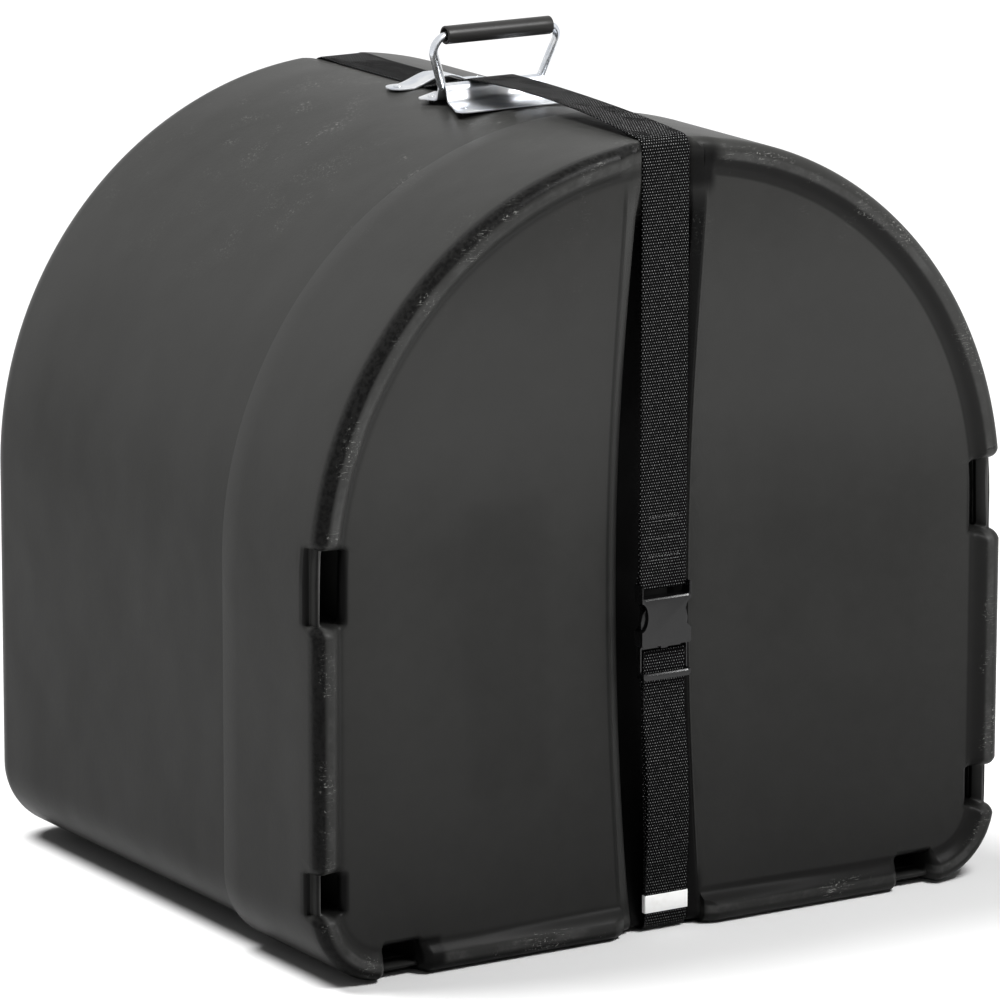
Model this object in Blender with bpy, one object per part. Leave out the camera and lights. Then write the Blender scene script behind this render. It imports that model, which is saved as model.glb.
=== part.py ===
"""Moulded drum case with a telescoping lid, a web strap with a side-release buckle and a top handle.

Metres, +Z up. The lid's face looks along -Y, the origin is at the bottom centre of the closed case.
"""
import math

import bmesh
import bpy
from mathutils import Matrix, Vector

# Case section and length
CASE_WIDTH = 0.735
CASE_HEIGHT = 0.729
CASE_DEPTH = 0.619
BOTTOM_CORNER_RADIUS = 0.0735
BODY_STEP = 0.0073
BODY_WALL = 0.0044
BACK_EDGE_RADIUS = 0.030
MOUTH_ROUND = 0.0015

# Standing runners under the body
RUNNER_INNER_X = 0.048
RUNNER_OUTER_X = 0.270
RUNNER_SETBACK = 0.028
RUNNER_LENGTH = 0.355
RUNNER_DRAFT = 0.006
RUNNER_SINK = 0.002

# Lid
LID_DEPTH = 0.167
LID_WALL = 0.005
LID_RIM_ROUND = 0.0015
LID_EDGE_RADIUS = 0.012
LID_INNER_RADIUS = 0.006
BEAD_FLAT = 0.003
BEAD_WIDTH = 0.030
BEAD_HEIGHT = 0.008
FACE_DISH = 0.028
DISH_POWER = 1.4
DISH_HEIGHT = 0.330
DISH_REACH_UP = 0.370
DISH_REACH_DOWN = 0.375
FACE_RING_SHARES = (0.93, 0.84, 0.72, 0.56, 0.38, 0.19)
INNER_FACE_RING_SHARES = (0.90, 0.72, 0.46, 0.19)

# Strap channel down the lid's face
CHANNEL_HALF_WIDTH = 0.041
CHANNEL_SECTION_DEPTH = 0.016
CHANNEL_SECTION_SHARES = ((0.76, 0.0), (0.84, 0.16), (0.91, 0.56), (0.95, 0.77), (1.03, 0.93), (1.16, 1.0))
CHANNEL_END_DEPTH = 0.014
CHANNEL_MID_DEPTH = 0.050
CHANNEL_MID_HEIGHT = 0.350
CHANNEL_UPPER_POWER = 1.2
CHANNEL_LOWER_POWER = 0.7
CHANNEL_END_ROUND = 0.010
CHANNEL_DRAFT = 0.001
UNDERSIDE_GROOVE = 0.0024
BEAD_GAP_HALF_WIDTH = 0.040
BEAD_GAP_FLARE = 0.014
BEAD_GAP_RUN = 0.040

# Strap channel down the body's back
BACK_CHANNEL_DEPTH = 0.026
BACK_CHANNEL_ROUND = 0.025

# Strap slots in the lid's edge
SLOT_BAR_DEPTH = 0.020
SLOT_SIDE_DEPTH = 0.029
SLOT_SIDE_INSET = 0.0053
SLOT_BAR_WIDTH = 0.0074
SLOT_FLARE = 0.009
SLOT_FLARE_SHARE = 0.42
UPPER_SLOT_LENGTH = 0.068
LOWER_SLOT_LENGTH = 0.038
UPPER_SLOT_RISE = 0.0065
LOWER_SLOT_RISE = 0.0155
BASE_SLOT_INSET = 0.017

# Shallow panel moulded in the face
PANEL_X = -0.160
PANEL_Z = 0.283
PANEL_WIDTH = 0.100
PANEL_LENGTH = 0.276
PANEL_CORNER = 0.018
PANEL_DEPTH = 0.0015

# Webbing
WEB_WIDTH = 0.0495
WEB_THICKNESS = 0.0018
SPLICE_TOP_Z = 0.333
SEWN_END_TOP_Z = 0.392
SEWN_END_LEAN = 0.014
TAIL_LOW_Z = 0.034
STRAP_BOW = 0.0052

# Handle plate, bail and grip
HANDLE_Y = -0.005
PLATE_THICKNESS = 0.0016
TUNNEL_HALF_LENGTH = 0.0505
TUNNEL_CREST_SETBACK = 0.0022
TUNNEL_OUTER_RADIUS = 0.008
TUNNEL_HEIGHT = 0.0178
FRONT_FLANGE_REACH = 0.059
FRONT_FLANGE_HALF_LENGTH = 0.069
REAR_FLANGE_REACH = 0.049
REAR_FLANGE_HALF_LENGTH = 0.062
REAR_FLANGE_TIP_HALF_LENGTH = 0.032
FLANGE_CORNER_RADIUS = 0.011
FRONT_RIVET_X = 0.055
FRONT_RIVET_Y = 0.041
REAR_RIVET_X = 0.0495
REAR_RIVET_Y = 0.026
WIRE_RADIUS = 0.00315
BAIL_TUCK = 0.038
BAIL_FOOT = 0.0530
BAIL_SHOULDER = 0.0732
BAIL_HEIGHT = 0.0525
BAIL_FOOT_BEND = 0.0055
BAIL_TOP_BEND = 0.011
BAIL_LEAN = math.radians(10)
WIRE_PLAY = 0.0006
GRIP_HALF_LENGTH = 0.0565
GRIP_RADIUS = 0.0085
GRIP_ROUND = 0.001

# Strap keeper behind the handle
KEEPER_Y = 0.090
KEEPER_WIDTH = 0.028
KEEPER_HALF_LENGTH = 0.054
KEEPER_THICKNESS = 0.0016
KEEPER_RISE = 0.0091
KEEPER_CREST_HALF = 0.012
KEEPER_FOOT_START = 0.036
KEEPER_LANDING_X = 0.033
KEEPER_RIVET_X = 0.0435
KEEPER_END_RADIUS = 0.013
STRAP_LANDING_BACKSET = 0.002

# Rivets and washers
RIVET_HEAD_RADIUS = 0.0045
RIVET_HEAD_HEIGHT = 0.0018
RIVET_SHANK_RADIUS = 0.0021
RIVET_TAIL_RADIUS = 0.0037
RIVET_TAIL_HEIGHT = 0.0014
RIVET_HOLE_RADIUS = 0.0026
RIVET_HOLE_DEPTH = 0.028
WASHER_RADIUS = 0.0085
WASHER_THICKNESS = 0.0012

# Side-release buckle
BUCKLE_WIDTH = 0.056
BUCKLE_TOP_Z = 0.325
SOCKET_LENGTH = 0.057
SOCKET_FRONT = 0.0072
SOCKET_BACK = 0.0066
SOCKET_ROUND = 0.0022
SOCKET_MOUTH_DEPTH = 0.040
SOCKET_CAVITY_HALF = 0.0225
SOCKET_CAVITY_THICKNESS = 0.0074
WINDOW_LENGTH = 0.027
WINDOW_LOW = 0.0115
WINDOW_BITE = 0.0085
SOCKET_STRAP_HALF = 0.0262
SOCKET_STRAP_DEPTH = 0.0125
SOCKET_BAR_THICKNESS = 0.0030
SOCKET_BAR_DEPTH = 0.0050
BAR_ROUND = 0.0012
PLUG_LENGTH = 0.031
PLUG_FRONT = 0.0066
PLUG_BACK = 0.0066
PLUG_RAIL = 0.0019
PLUG_LOWER_BAR = 0.0078
PLUG_LOWER_BAR_BACK = 0.0014
PLUG_BRIDGE_LOW = 0.0135
PLUG_BRIDGE_HIGH = 0.0195
PLUG_HEAD = 0.0060
TONGUE_HALF = 0.0035
TONGUE_LENGTH = 0.034
TONGUE_THICKNESS = 0.0050
PRONG_THICKNESS = 0.0056
PRONG_SHARES = ((0.47, 0.0), (0.59, 0.0), (0.64, 0.40), (0.98, 0.44), (1.0, 0.62), (0.93, 0.82),
                (0.72, 0.98), (0.56, 1.0), (0.50, 0.92), (0.60, 0.68), (0.52, 0.40), (0.46, 0.22))
PRONG_REACH = 0.0258
PRONG_LENGTH = 0.0365

# Blank sleeve on the strap's tail
SLEEVE_LOW_Z = 0.021
SLEEVE_HEIGHT = 0.021
SLEEVE_WALL = 0.0006

# Fits
GAP = 0.0003
OVERRUN = 0.006

# Facet counts
ARCH_STEPS = 44
CORNER_STEPS = 7
SIDE_STEPS = 4
BASE_STEPS = 8
ROUND_STEPS = 4
INNER_ROUND_STEPS = 3
BEND_STEPS = 8
BOW_STEPS = 6
KEEPER_STEPS = 12
TURN_STEPS = 16
FASTENER_STEPS = 12
CHANNEL_STEPS = 16

# Derived places
ARCH_RADIUS = CASE_WIDTH / 2
SPRING_HEIGHT = CASE_HEIGHT - ARCH_RADIUS
BODY_RADIUS = ARCH_RADIUS - BODY_STEP
BODY_TOP = CASE_HEIGHT - BODY_STEP
WEB_OFFSET = GAP + WEB_THICKNESS / 2
FRONT_Y = -CASE_DEPTH / 2
BACK_Y = CASE_DEPTH / 2
SEAM_Y = FRONT_Y + LID_DEPTH
MOUTH_Y = FRONT_Y + SLOT_SIDE_DEPTH + LID_WALL + GAP
UPPER_SLOT_HEIGHT = SPRING_HEIGHT + UPPER_SLOT_RISE
LOWER_SLOT_HEIGHT = BOTTOM_CORNER_RADIUS + LOWER_SLOT_RISE
BASE_SLOT_X = ARCH_RADIUS - BOTTOM_CORNER_RADIUS - BASE_SLOT_INSET
STRAP_Y = FRONT_Y + CHANNEL_END_DEPTH - WEB_OFFSET
PLATE_LOW = BODY_TOP + GAP
KEEPER_LOW = SPRING_HEIGHT + math.sqrt(BODY_RADIUS ** 2 - KEEPER_LANDING_X ** 2) + GAP
PLATE_TOP = PLATE_LOW + PLATE_THICKNESS
TUNNEL_TOP = PLATE_TOP - PLATE_THICKNESS + TUNNEL_HEIGHT
PIVOT_Z = TUNNEL_TOP - PLATE_THICKNESS - WIRE_RADIUS - WIRE_PLAY
SOCKET_LOW_Z = BUCKLE_TOP_Z - SOCKET_LENGTH
PLUG_TOP_Z = SOCKET_LOW_Z - GAP
PLUG_LOW_Z = PLUG_TOP_Z - PLUG_LENGTH

COLOURS = {
    "shell": ((0.042, 0.042, 0.041), 0.48, 0.0),
    "webbing": ((0.012, 0.012, 0.013), 0.85, 0.0),
    "zinc": ((0.62, 0.64, 0.67), 0.28, 1.0),
    "rubber": ((0.030, 0.029, 0.029), 0.42, 0.0),
    "buckle": ((0.014, 0.014, 0.015), 0.30, 0.0),
    "paper": ((0.86, 0.86, 0.85), 0.60, 0.0),
}


def clear_scene():
    for thing in list(bpy.data.objects):
        bpy.data.objects.remove(thing, do_unlink=True)


def give_material(thing, kind):
    colour, roughness, metallic = COLOURS[kind]
    material = bpy.data.materials.new(thing.name)
    material.use_nodes = True
    shader = material.node_tree.nodes["Principled BSDF"]
    shader.inputs["Base Color"].default_value = (*colour, 1.0)
    shader.inputs["Roughness"].default_value = roughness
    shader.inputs["Metallic"].default_value = metallic
    thing.data.materials.append(material)


def finish(bm, name, kind=None, smooth_angle=None, cutter=False):
    """Turn a bmesh into a named object, as a visible piece or as a hidden cutter."""
    bmesh.ops.recalc_face_normals(bm, faces=bm.faces)
    mesh = bpy.data.meshes.new(name)
    bm.to_mesh(mesh)
    bm.free()
    thing = bpy.data.objects.new(name, mesh)
    bpy.context.scene.collection.objects.link(thing)
    if smooth_angle is not None:
        mesh.shade_smooth()
        mesh.set_sharp_from_angle(angle=smooth_angle)
    if cutter:
        thing.hide_render = True
        thing.display_type = "WIRE"
    else:
        give_material(thing, kind)
    return thing


def boolean(thing, cutter, operation="DIFFERENCE"):
    modifier = thing.modifiers.new(cutter.name, "BOOLEAN")
    modifier.operation = operation
    modifier.solver = "EXACT"
    modifier.object = cutter
    return modifier


def start_ring(bm, points):
    verts = [bm.verts.new(point) for point in points]
    edges = [bm.edges.new((verts[i - 1], verts[i])) for i in range(len(verts))]
    return verts, edges


def extrude_ring(bm, verts, edges, points):
    """Extrude a closed ring of edges and lay its new corners on the given points."""
    made = bmesh.ops.extrude_edge_only(bm, edges=edges)["geom"]
    fresh = {item for item in made if isinstance(item, bmesh.types.BMVert)}
    following = [next(edge.other_vert(vert) for edge in vert.link_edges if edge.other_vert(vert) in fresh)
                 for vert in verts]
    for twin, point in zip(following, points):
        twin.co = point
    next_edges = [item for item in made if isinstance(item, bmesh.types.BMEdge)
                  and item.verts[0] in fresh and item.verts[1] in fresh]
    return following, next_edges


def loft(bm, rings, apex=None):
    """Skin a row of rings; the first is capped flat, the last flat or gathered at an apex."""
    verts, edges = start_ring(bm, rings[0])
    bm.faces.new(verts)
    for points in rings[1:]:
        verts, edges = extrude_ring(bm, verts, edges, points)
    if apex is None:
        bm.faces.new(verts)
        return
    verts, edges = extrude_ring(bm, verts, edges, [apex] * len(verts))
    bmesh.ops.pointmerge(bm, verts=verts, merge_co=apex)


def box(bm, low, high):
    made = bmesh.ops.create_cube(bm, size=1.0)["verts"]
    low, high = Vector(low), Vector(high)
    size = high - low
    bmesh.ops.scale(bm, verts=made, vec=size)
    bmesh.ops.translate(bm, verts=made, vec=(low + high) / 2)
    return made


def prism(bm, outline, place_low, place_high):
    """Extrude a flat outline between two places, each a function of an outline point."""
    loft(bm, [[place_low(point) for point in outline], [place_high(point) for point in outline]])


def arc(centre, radius, start, end, steps):
    """Points of an arc in a plane, angles in radians."""
    return [(centre[0] + radius * math.cos(start + (end - start) * i / steps),
             centre[1] + radius * math.sin(start + (end - start) * i / steps)) for i in range(steps + 1)]


def case_outline(inset):
    """Arched section of the case as (x, z) points, drawn in by an inset."""
    side = ARCH_RADIUS - inset
    corner = BOTTOM_CORNER_RADIUS - inset
    points = arc((0, SPRING_HEIGHT), side, 0, math.pi, ARCH_STEPS)
    low_side = BOTTOM_CORNER_RADIUS
    for i in range(1, SIDE_STEPS):
        points.append((-side, SPRING_HEIGHT + (low_side - SPRING_HEIGHT) * i / SIDE_STEPS))
    centre_x = ARCH_RADIUS - BOTTOM_CORNER_RADIUS
    points += arc((-centre_x, low_side), corner, math.pi, math.pi * 3 / 2, CORNER_STEPS)
    for i in range(1, BASE_STEPS):
        points.append((centre_x * (2 * i / BASE_STEPS - 1), inset))
    points += arc((centre_x, low_side), corner, math.pi * 3 / 2, math.pi * 2, CORNER_STEPS)
    for i in range(1, SIDE_STEPS):
        points.append((side, low_side + (SPRING_HEIGHT - low_side) * i / SIDE_STEPS))
    return points


def ring_at(inset, y):
    return [(x, y, z) for x, z in case_outline(inset)]


def face_depth(x, z):
    """How far the dished face lies behind the bead's crest."""
    reach = DISH_REACH_UP if z > DISH_HEIGHT else DISH_REACH_DOWN
    share = (x / (ARCH_RADIUS - BEAD_WIDTH)) ** 2 + ((z - DISH_HEIGHT) / reach) ** 2
    return BEAD_HEIGHT + FACE_DISH * (1.0 - min(1.0, share)) ** DISH_POWER


def face_rings(inset, shares, extra_depth):
    """Rings of the dished face, gathered towards the arch's centre."""
    rings = []
    for share in shares:
        ring = []
        for x, z in case_outline(inset):
            px = x * share
            pz = SPRING_HEIGHT + (z - SPRING_HEIGHT) * share
            ring.append((px, FRONT_Y + face_depth(px, pz) + extra_depth, pz))
        rings.append(ring)
    return rings


def body_rings(inset, front_y, back_y, edge_radius, mouth_round):
    rings = []
    if mouth_round:
        rings.append(ring_at(inset + mouth_round, front_y))
        rings.append(ring_at(inset, front_y + mouth_round))
    else:
        rings.append(ring_at(inset, front_y))
    for i in range(ROUND_STEPS + 1):
        turn = math.pi / 2 * i / ROUND_STEPS
        drawn_in = edge_radius * (1 - math.cos(turn))
        rings.append(ring_at(inset + drawn_in, back_y - edge_radius * (1 - math.sin(turn))))
    return rings


def rivet_places():
    """Each rivet's name and the point under its head."""
    places = []
    for side, sign in (("left", -1), ("right", 1)):
        seat = Vector((sign * FRONT_RIVET_X, HANDLE_Y - FRONT_RIVET_Y, PLATE_TOP))
        places.append(("plate_rivet_front_" + side, seat))
        seat = Vector((sign * REAR_RIVET_X, HANDLE_Y + REAR_RIVET_Y, PLATE_TOP))
        places.append(("plate_rivet_rear_" + side, seat))
        seat = Vector((sign * KEEPER_RIVET_X, KEEPER_Y, KEEPER_LOW + KEEPER_THICKNESS))
        places.append(("keeper_rivet_" + side, seat))
    return places


def hole_cutter(name):
    """Holes for the rivets, through the plate, the keeper and the body's skin."""
    bm = bmesh.new()
    for _, seat in rivet_places():
        made = bmesh.ops.create_cone(bm, cap_ends=True, segments=FASTENER_STEPS, radius1=RIVET_HOLE_RADIUS,
                                     radius2=RIVET_HOLE_RADIUS, depth=RIVET_HOLE_DEPTH)["verts"]
        bmesh.ops.translate(bm, verts=made, vec=seat - Vector((0, 0, OVERRUN)))
    return finish(bm, name, cutter=True)


def make_body_shell(rivet_holes):
    bm = bmesh.new()
    loft(bm, body_rings(BODY_STEP, MOUTH_Y, BACK_Y, BACK_EDGE_RADIUS, MOUTH_ROUND))
    body = finish(bm, "body_shell", "shell", math.radians(35))
    bm = bmesh.new()
    for sign in (-1, 1):
        inner, outer = sign * RUNNER_INNER_X, sign * RUNNER_OUTER_X
        low_x, high_x = min(inner, outer), max(inner, outer)
        start = SEAM_Y + RUNNER_SETBACK
        end = start + RUNNER_LENGTH
        rings = []
        for grow, z in ((0, 0), (RUNNER_DRAFT, BODY_STEP), (RUNNER_DRAFT, BODY_STEP + RUNNER_SINK)):
            outline = rounded_rectangle(low_x - grow, high_x + grow, start - grow, end + grow,
                                        RUNNER_SETBACK / 2 + grow)
            rings.append([(x, y, z) for x, y in outline])
        loft(bm, rings)
    runners = finish(bm, "runner_shapes", cutter=True)
    boolean(body, runners, "UNION")
    boolean(body, back_channel_cutter("back_channel", 0))
    bm = bmesh.new()
    rings = body_rings(BODY_STEP + BODY_WALL, MOUTH_Y - OVERRUN, BACK_Y - BODY_WALL,
                       BACK_EDGE_RADIUS - BODY_WALL, 0)
    loft(bm, rings)
    cavity = finish(bm, "body_cavity", cutter=True)
    boolean(cavity, back_channel_cutter("back_channel_backing", BODY_WALL))
    boolean(body, cavity)
    boolean(body, rivet_holes)


def rounded_rectangle(low_x, high_x, low_y, high_y, radius):
    corners = ((high_x - radius, high_y - radius, 0), (low_x + radius, high_y - radius, 1),
               (low_x + radius, low_y + radius, 2), (high_x - radius, low_y + radius, 3))
    points = []
    for x, y, quarter in corners:
        points += arc((x, y), radius, math.pi / 2 * quarter, math.pi / 2 * (quarter + 1), ROUND_STEPS)
    return points


def lid_outer(name, sunk, **looks):
    """Outside of the lid, from its rim round the bead to the dished face, moved back by a depth."""
    rings = [ring_at(LID_RIM_ROUND, SEAM_Y), ring_at(0, SEAM_Y - LID_RIM_ROUND)]
    for i in range(ROUND_STEPS + 1):
        turn = math.pi / 2 * i / ROUND_STEPS
        rings.append(ring_at(LID_EDGE_RADIUS * (1 - math.cos(turn)),
                             FRONT_Y + LID_EDGE_RADIUS * (1 - math.sin(turn))))
    slope = BEAD_WIDTH - LID_EDGE_RADIUS - BEAD_FLAT
    for i in range(ROUND_STEPS + 1):
        share = i / ROUND_STEPS
        fall = (1 - math.cos(math.pi * share)) / 2
        outline = case_outline(LID_EDGE_RADIUS + BEAD_FLAT + slope * share)
        rings.append([(x, FRONT_Y + face_depth(x, z) * fall, z) for x, z in outline])
    rings += face_rings(BEAD_WIDTH, FACE_RING_SHARES, 0)
    bm = bmesh.new()
    loft(bm, rings, Vector((0, FRONT_Y + face_depth(0, SPRING_HEIGHT), SPRING_HEIGHT)))
    bmesh.ops.translate(bm, verts=bm.verts, vec=(0, sunk, 0))
    return finish(bm, name, **looks)


def lid_cavity_rings():
    start = BEAD_HEIGHT + LID_WALL
    rings = [ring_at(LID_WALL, SEAM_Y + OVERRUN), ring_at(LID_WALL, FRONT_Y + start + LID_INNER_RADIUS)]
    for i in range(1, INNER_ROUND_STEPS):
        turn = math.pi / 2 * i / INNER_ROUND_STEPS
        rings.append(ring_at(LID_WALL + LID_INNER_RADIUS * (1 - math.cos(turn)),
                             FRONT_Y + start + LID_INNER_RADIUS * (1 - math.sin(turn))))
    rings.append([(x, FRONT_Y + face_depth(x, z) + LID_WALL, z) for x, z in case_outline(BEAD_WIDTH)])
    return rings + face_rings(BEAD_WIDTH, INNER_FACE_RING_SHARES, LID_WALL)


def channel_depth(z):
    """Depth of the lid's strap channel behind the bead's crest, before its ends are rounded over."""
    if z > CHANNEL_MID_HEIGHT:
        share = (z - CHANNEL_MID_HEIGHT) / (CASE_HEIGHT - CHANNEL_MID_HEIGHT)
        power = CHANNEL_UPPER_POWER
    else:
        share = 1 - z / CHANNEL_MID_HEIGHT
        power = CHANNEL_LOWER_POWER
    sunk = (1 - min(1, share * share)) ** power
    return CHANNEL_END_DEPTH + (CHANNEL_MID_DEPTH - CHANNEL_END_DEPTH) * sunk


def channel_stations(depth_at, low, high, radius, grow, steps):
    """Heights up a strap channel and its floor's depth at each, rounded over at both ends."""
    inner = radius - grow
    low_end = []
    high_end = []
    for i in range(ROUND_STEPS + 1):
        turn = math.pi / 2 * i / ROUND_STEPS
        back = radius - inner * math.cos(turn)
        z = low + radius - inner * math.sin(turn)
        low_end.append((z, depth_at(z) + back))
        z = high - radius + inner * math.sin(turn)
        high_end.append((z, depth_at(z) + back))
    low_end.append((low - OVERRUN, low_end[-1][1]))
    high_end.append((high + OVERRUN, high_end[-1][1]))
    span = high - low - radius * 2
    middle = [low + radius + span * i / steps for i in range(1, steps)]
    return low_end[::-1] + [(z, depth_at(z) + grow) for z in middle] + high_end


def channel_cutter(name, grow, stations, face_y, inward):
    """Strap channel cut in from a face, its rounded section grown to make room for a wall."""
    bm = bmesh.new()
    rings = []
    for z, floor in stations:
        right = [((CHANNEL_HALF_WIDTH + grow) * wide, floor - CHANNEL_SECTION_DEPTH * high)
                 for wide, high in CHANNEL_SECTION_SHARES]
        right.append((right[-1][0] + CHANNEL_DRAFT, -OVERRUN))
        left = [(-x, depth) for x, depth in reversed(right)]
        rings.append([(x, face_y + inward * depth, z) for x, depth in right + left])
    loft(bm, rings)
    bmesh.ops.triangulate(bm, faces=bm.faces)
    return finish(bm, name, cutter=True)


def lid_channel_cutter(name, grow):
    stations = channel_stations(channel_depth, UNDERSIDE_GROOVE, CASE_HEIGHT, CHANNEL_END_ROUND, grow,
                                CHANNEL_STEPS)
    return channel_cutter(name, grow, stations, FRONT_Y, 1)


def back_channel_cutter(name, grow):
    stations = channel_stations(lambda z: BACK_CHANNEL_DEPTH, BODY_STEP, BODY_TOP, BACK_CHANNEL_ROUND,
                                grow, 1)
    return channel_cutter(name, grow, stations, BACK_Y, -1)


def bead_gap_cutter(name):
    """Sloped ends of the bead on both sides of the channel, and the shallow groove under the lid."""
    bm = bmesh.new()
    narrow = BEAD_GAP_HALF_WIDTH
    wide = narrow + BEAD_GAP_FLARE
    ends = ((CASE_HEIGHT - BEAD_GAP_RUN, CASE_HEIGHT + OVERRUN, CASE_HEIGHT - BEAD_WIDTH),
            (-OVERRUN, BEAD_GAP_RUN, BEAD_WIDTH))
    for low, high, foot in ends:
        floor = FRONT_Y + face_depth(narrow, foot)
        crest = FRONT_Y - OVERRUN
        section = ((-wide, crest), (wide, crest), (narrow, floor), (-narrow, floor))
        prism(bm, section, lambda p: (p[0], p[1], low), lambda p: (p[0], p[1], high))
    return finish(bm, name, cutter=True)


def underside_cutter(name):
    bm = bmesh.new()
    half = CHANNEL_HALF_WIDTH * CHANNEL_SECTION_SHARES[1][0]
    box(bm, (-half, FRONT_Y - OVERRUN, -OVERRUN), (half, SEAM_Y + OVERRUN, UNDERSIDE_GROOVE))
    return finish(bm, name, cutter=True)


def slot_section(grow, through):
    """Section of a strap slot as (inset, depth) points, from the outer corner round."""
    outer = -OVERRUN
    bar_outer = SLOT_SIDE_INSET + grow
    bar_inner = SLOT_SIDE_INSET + SLOT_BAR_WIDTH
    inner = BEAD_WIDTH + grow
    side = SLOT_SIDE_DEPTH + grow
    bar = SLOT_BAR_DEPTH + grow
    points = [(outer, -OVERRUN), (outer, side), (bar_outer, side), (bar_outer, bar)]
    if through:
        deep = CHANNEL_MID_DEPTH + LID_WALL
        points += [(bar_inner, bar), (bar_inner, deep), (inner, deep)]
    else:
        points += [(inner, bar)]
    points.append((inner, -OVERRUN))
    return points


def slot_cutter(name, grow, through):
    """Six strap slots: two on each side of the lid and two in its lower edge."""
    section = slot_section(grow, through)
    tip = [(-OVERRUN + (u + OVERRUN) * SLOT_FLARE_SHARE, -OVERRUN + (d + OVERRUN) * SLOT_FLARE_SHARE)
           for u, d in section]
    bm = bmesh.new()

    def add(length, place):
        half = length / 2 + grow
        spans = ((-half - SLOT_FLARE, tip), (-half, section), (half, section), (half + SLOT_FLARE, tip))
        rings = [[place(u, d, w) for u, d in outline] for w, outline in spans]
        loft(bm, rings)

    for sign in (-1, 1):
        for length, height in ((UPPER_SLOT_LENGTH, UPPER_SLOT_HEIGHT),
                               (LOWER_SLOT_LENGTH, LOWER_SLOT_HEIGHT)):
            add(length, lambda u, d, w: (sign * (ARCH_RADIUS - u), FRONT_Y + d, height + w))
        add(LOWER_SLOT_LENGTH, lambda u, d, w: (sign * BASE_SLOT_X + w, FRONT_Y + d, u))
    bmesh.ops.triangulate(bm, faces=bm.faces)
    return finish(bm, name, cutter=True)


def panel_cutter(name):
    """Shallow rounded panel whose floor runs parallel to the dished face."""
    half_x, half_z = PANEL_WIDTH / 2, PANEL_LENGTH / 2
    outline = rounded_rectangle(PANEL_X - half_x, PANEL_X + half_x, PANEL_Z - half_z, PANEL_Z + half_z,
                                PANEL_CORNER)
    bm = bmesh.new()
    prism(bm, outline, lambda p: (p[0], FRONT_Y, p[1]),
          lambda p: (p[0], FRONT_Y + CHANNEL_MID_DEPTH, p[1]))
    panel = finish(bm, name, cutter=True)
    boolean(panel, lid_outer("panel_floor", PANEL_DEPTH, cutter=True))
    return panel


def make_lid_shell():
    lid = lid_outer("lid_shell", 0, kind="shell", smooth_angle=math.radians(35))
    bm = bmesh.new()
    apex = Vector((0, FRONT_Y + face_depth(0, SPRING_HEIGHT) + LID_WALL, SPRING_HEIGHT))
    loft(bm, lid_cavity_rings(), apex)
    cavity = finish(bm, "lid_cavity", cutter=True)
    boolean(cavity, lid_channel_cutter("channel_backing", LID_WALL))
    boolean(cavity, slot_cutter("slot_backing", LID_WALL, False))
    boolean(lid, lid_channel_cutter("channel", 0))
    boolean(lid, bead_gap_cutter("bead_gap"))
    boolean(lid, underside_cutter("underside_groove"))
    boolean(lid, panel_cutter("face_panel"))
    boolean(lid, cavity)
    boolean(lid, slot_cutter("slots", 0, True))


def plate_profile():
    """Side view of the handle plate as a closed (y, z) outline: flange, tunnel, flange."""
    outer, inner = TUNNEL_OUTER_RADIUS, TUNNEL_OUTER_RADIUS - PLATE_THICKNESS
    centre = TUNNEL_TOP - outer
    over = [(-FRONT_FLANGE_REACH, PLATE_TOP), (-outer, PLATE_TOP)]
    over += arc((0, centre), outer, math.pi, 0, BEND_STEPS)
    over += [(outer, PLATE_TOP), (REAR_FLANGE_REACH, PLATE_TOP)]
    under = [(REAR_FLANGE_REACH, PLATE_LOW), (inner, PLATE_LOW)]
    under += arc((0, centre), inner, 0, math.pi, BEND_STEPS)
    under += [(-inner, PLATE_LOW), (-FRONT_FLANGE_REACH, PLATE_LOW)]
    return [(HANDLE_Y + y, z) for y, z in over + under]


def plate_plan():
    """Outline of the handle plate seen from above, as (x, y) about the tunnel."""
    corner = FLANGE_CORNER_RADIUS
    front = -FRONT_FLANGE_REACH
    right = [(TUNNEL_HALF_LENGTH, -TUNNEL_OUTER_RADIUS - PLATE_THICKNESS)]
    right += [(FRONT_FLANGE_HALF_LENGTH, front / 2)]
    right += arc((FRONT_FLANGE_HALF_LENGTH - corner, front + corner), corner, 0, -math.pi / 2, ROUND_STEPS)
    rear = [(REAR_FLANGE_TIP_HALF_LENGTH, REAR_FLANGE_REACH)]
    rear += arc((REAR_FLANGE_HALF_LENGTH - corner / 2, REAR_RIVET_Y), corner / 2,
                math.pi / 3, -math.pi / 3, ROUND_STEPS)
    rear += [(TUNNEL_HALF_LENGTH, TUNNEL_OUTER_RADIUS + PLATE_THICKNESS)]
    half = rear + right
    other = [(-x, y) for x, y in reversed(half)]
    return [(x, HANDLE_Y + y) for x, y in half + other]


def make_handle_plate(rivet_holes):
    bm = bmesh.new()
    reach = FRONT_FLANGE_HALF_LENGTH + OVERRUN
    prism(bm, plate_profile(), lambda p: (-reach, p[0], p[1]), lambda p: (reach, p[0], p[1]))
    plate = finish(bm, "handle_plate", "zinc", math.radians(35))
    bm = bmesh.new()
    spans = ((PLATE_LOW - OVERRUN, 0), (PIVOT_Z, 0), (TUNNEL_TOP, TUNNEL_CREST_SETBACK),
             (TUNNEL_TOP + OVERRUN, TUNNEL_CREST_SETBACK))
    loft(bm, [[(x - math.copysign(back, x), y, z) for x, y in plate_plan()] for z, back in spans])
    boolean(plate, finish(bm, "plate_plan", cutter=True), "INTERSECT")
    boolean(plate, rivet_holes)


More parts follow.
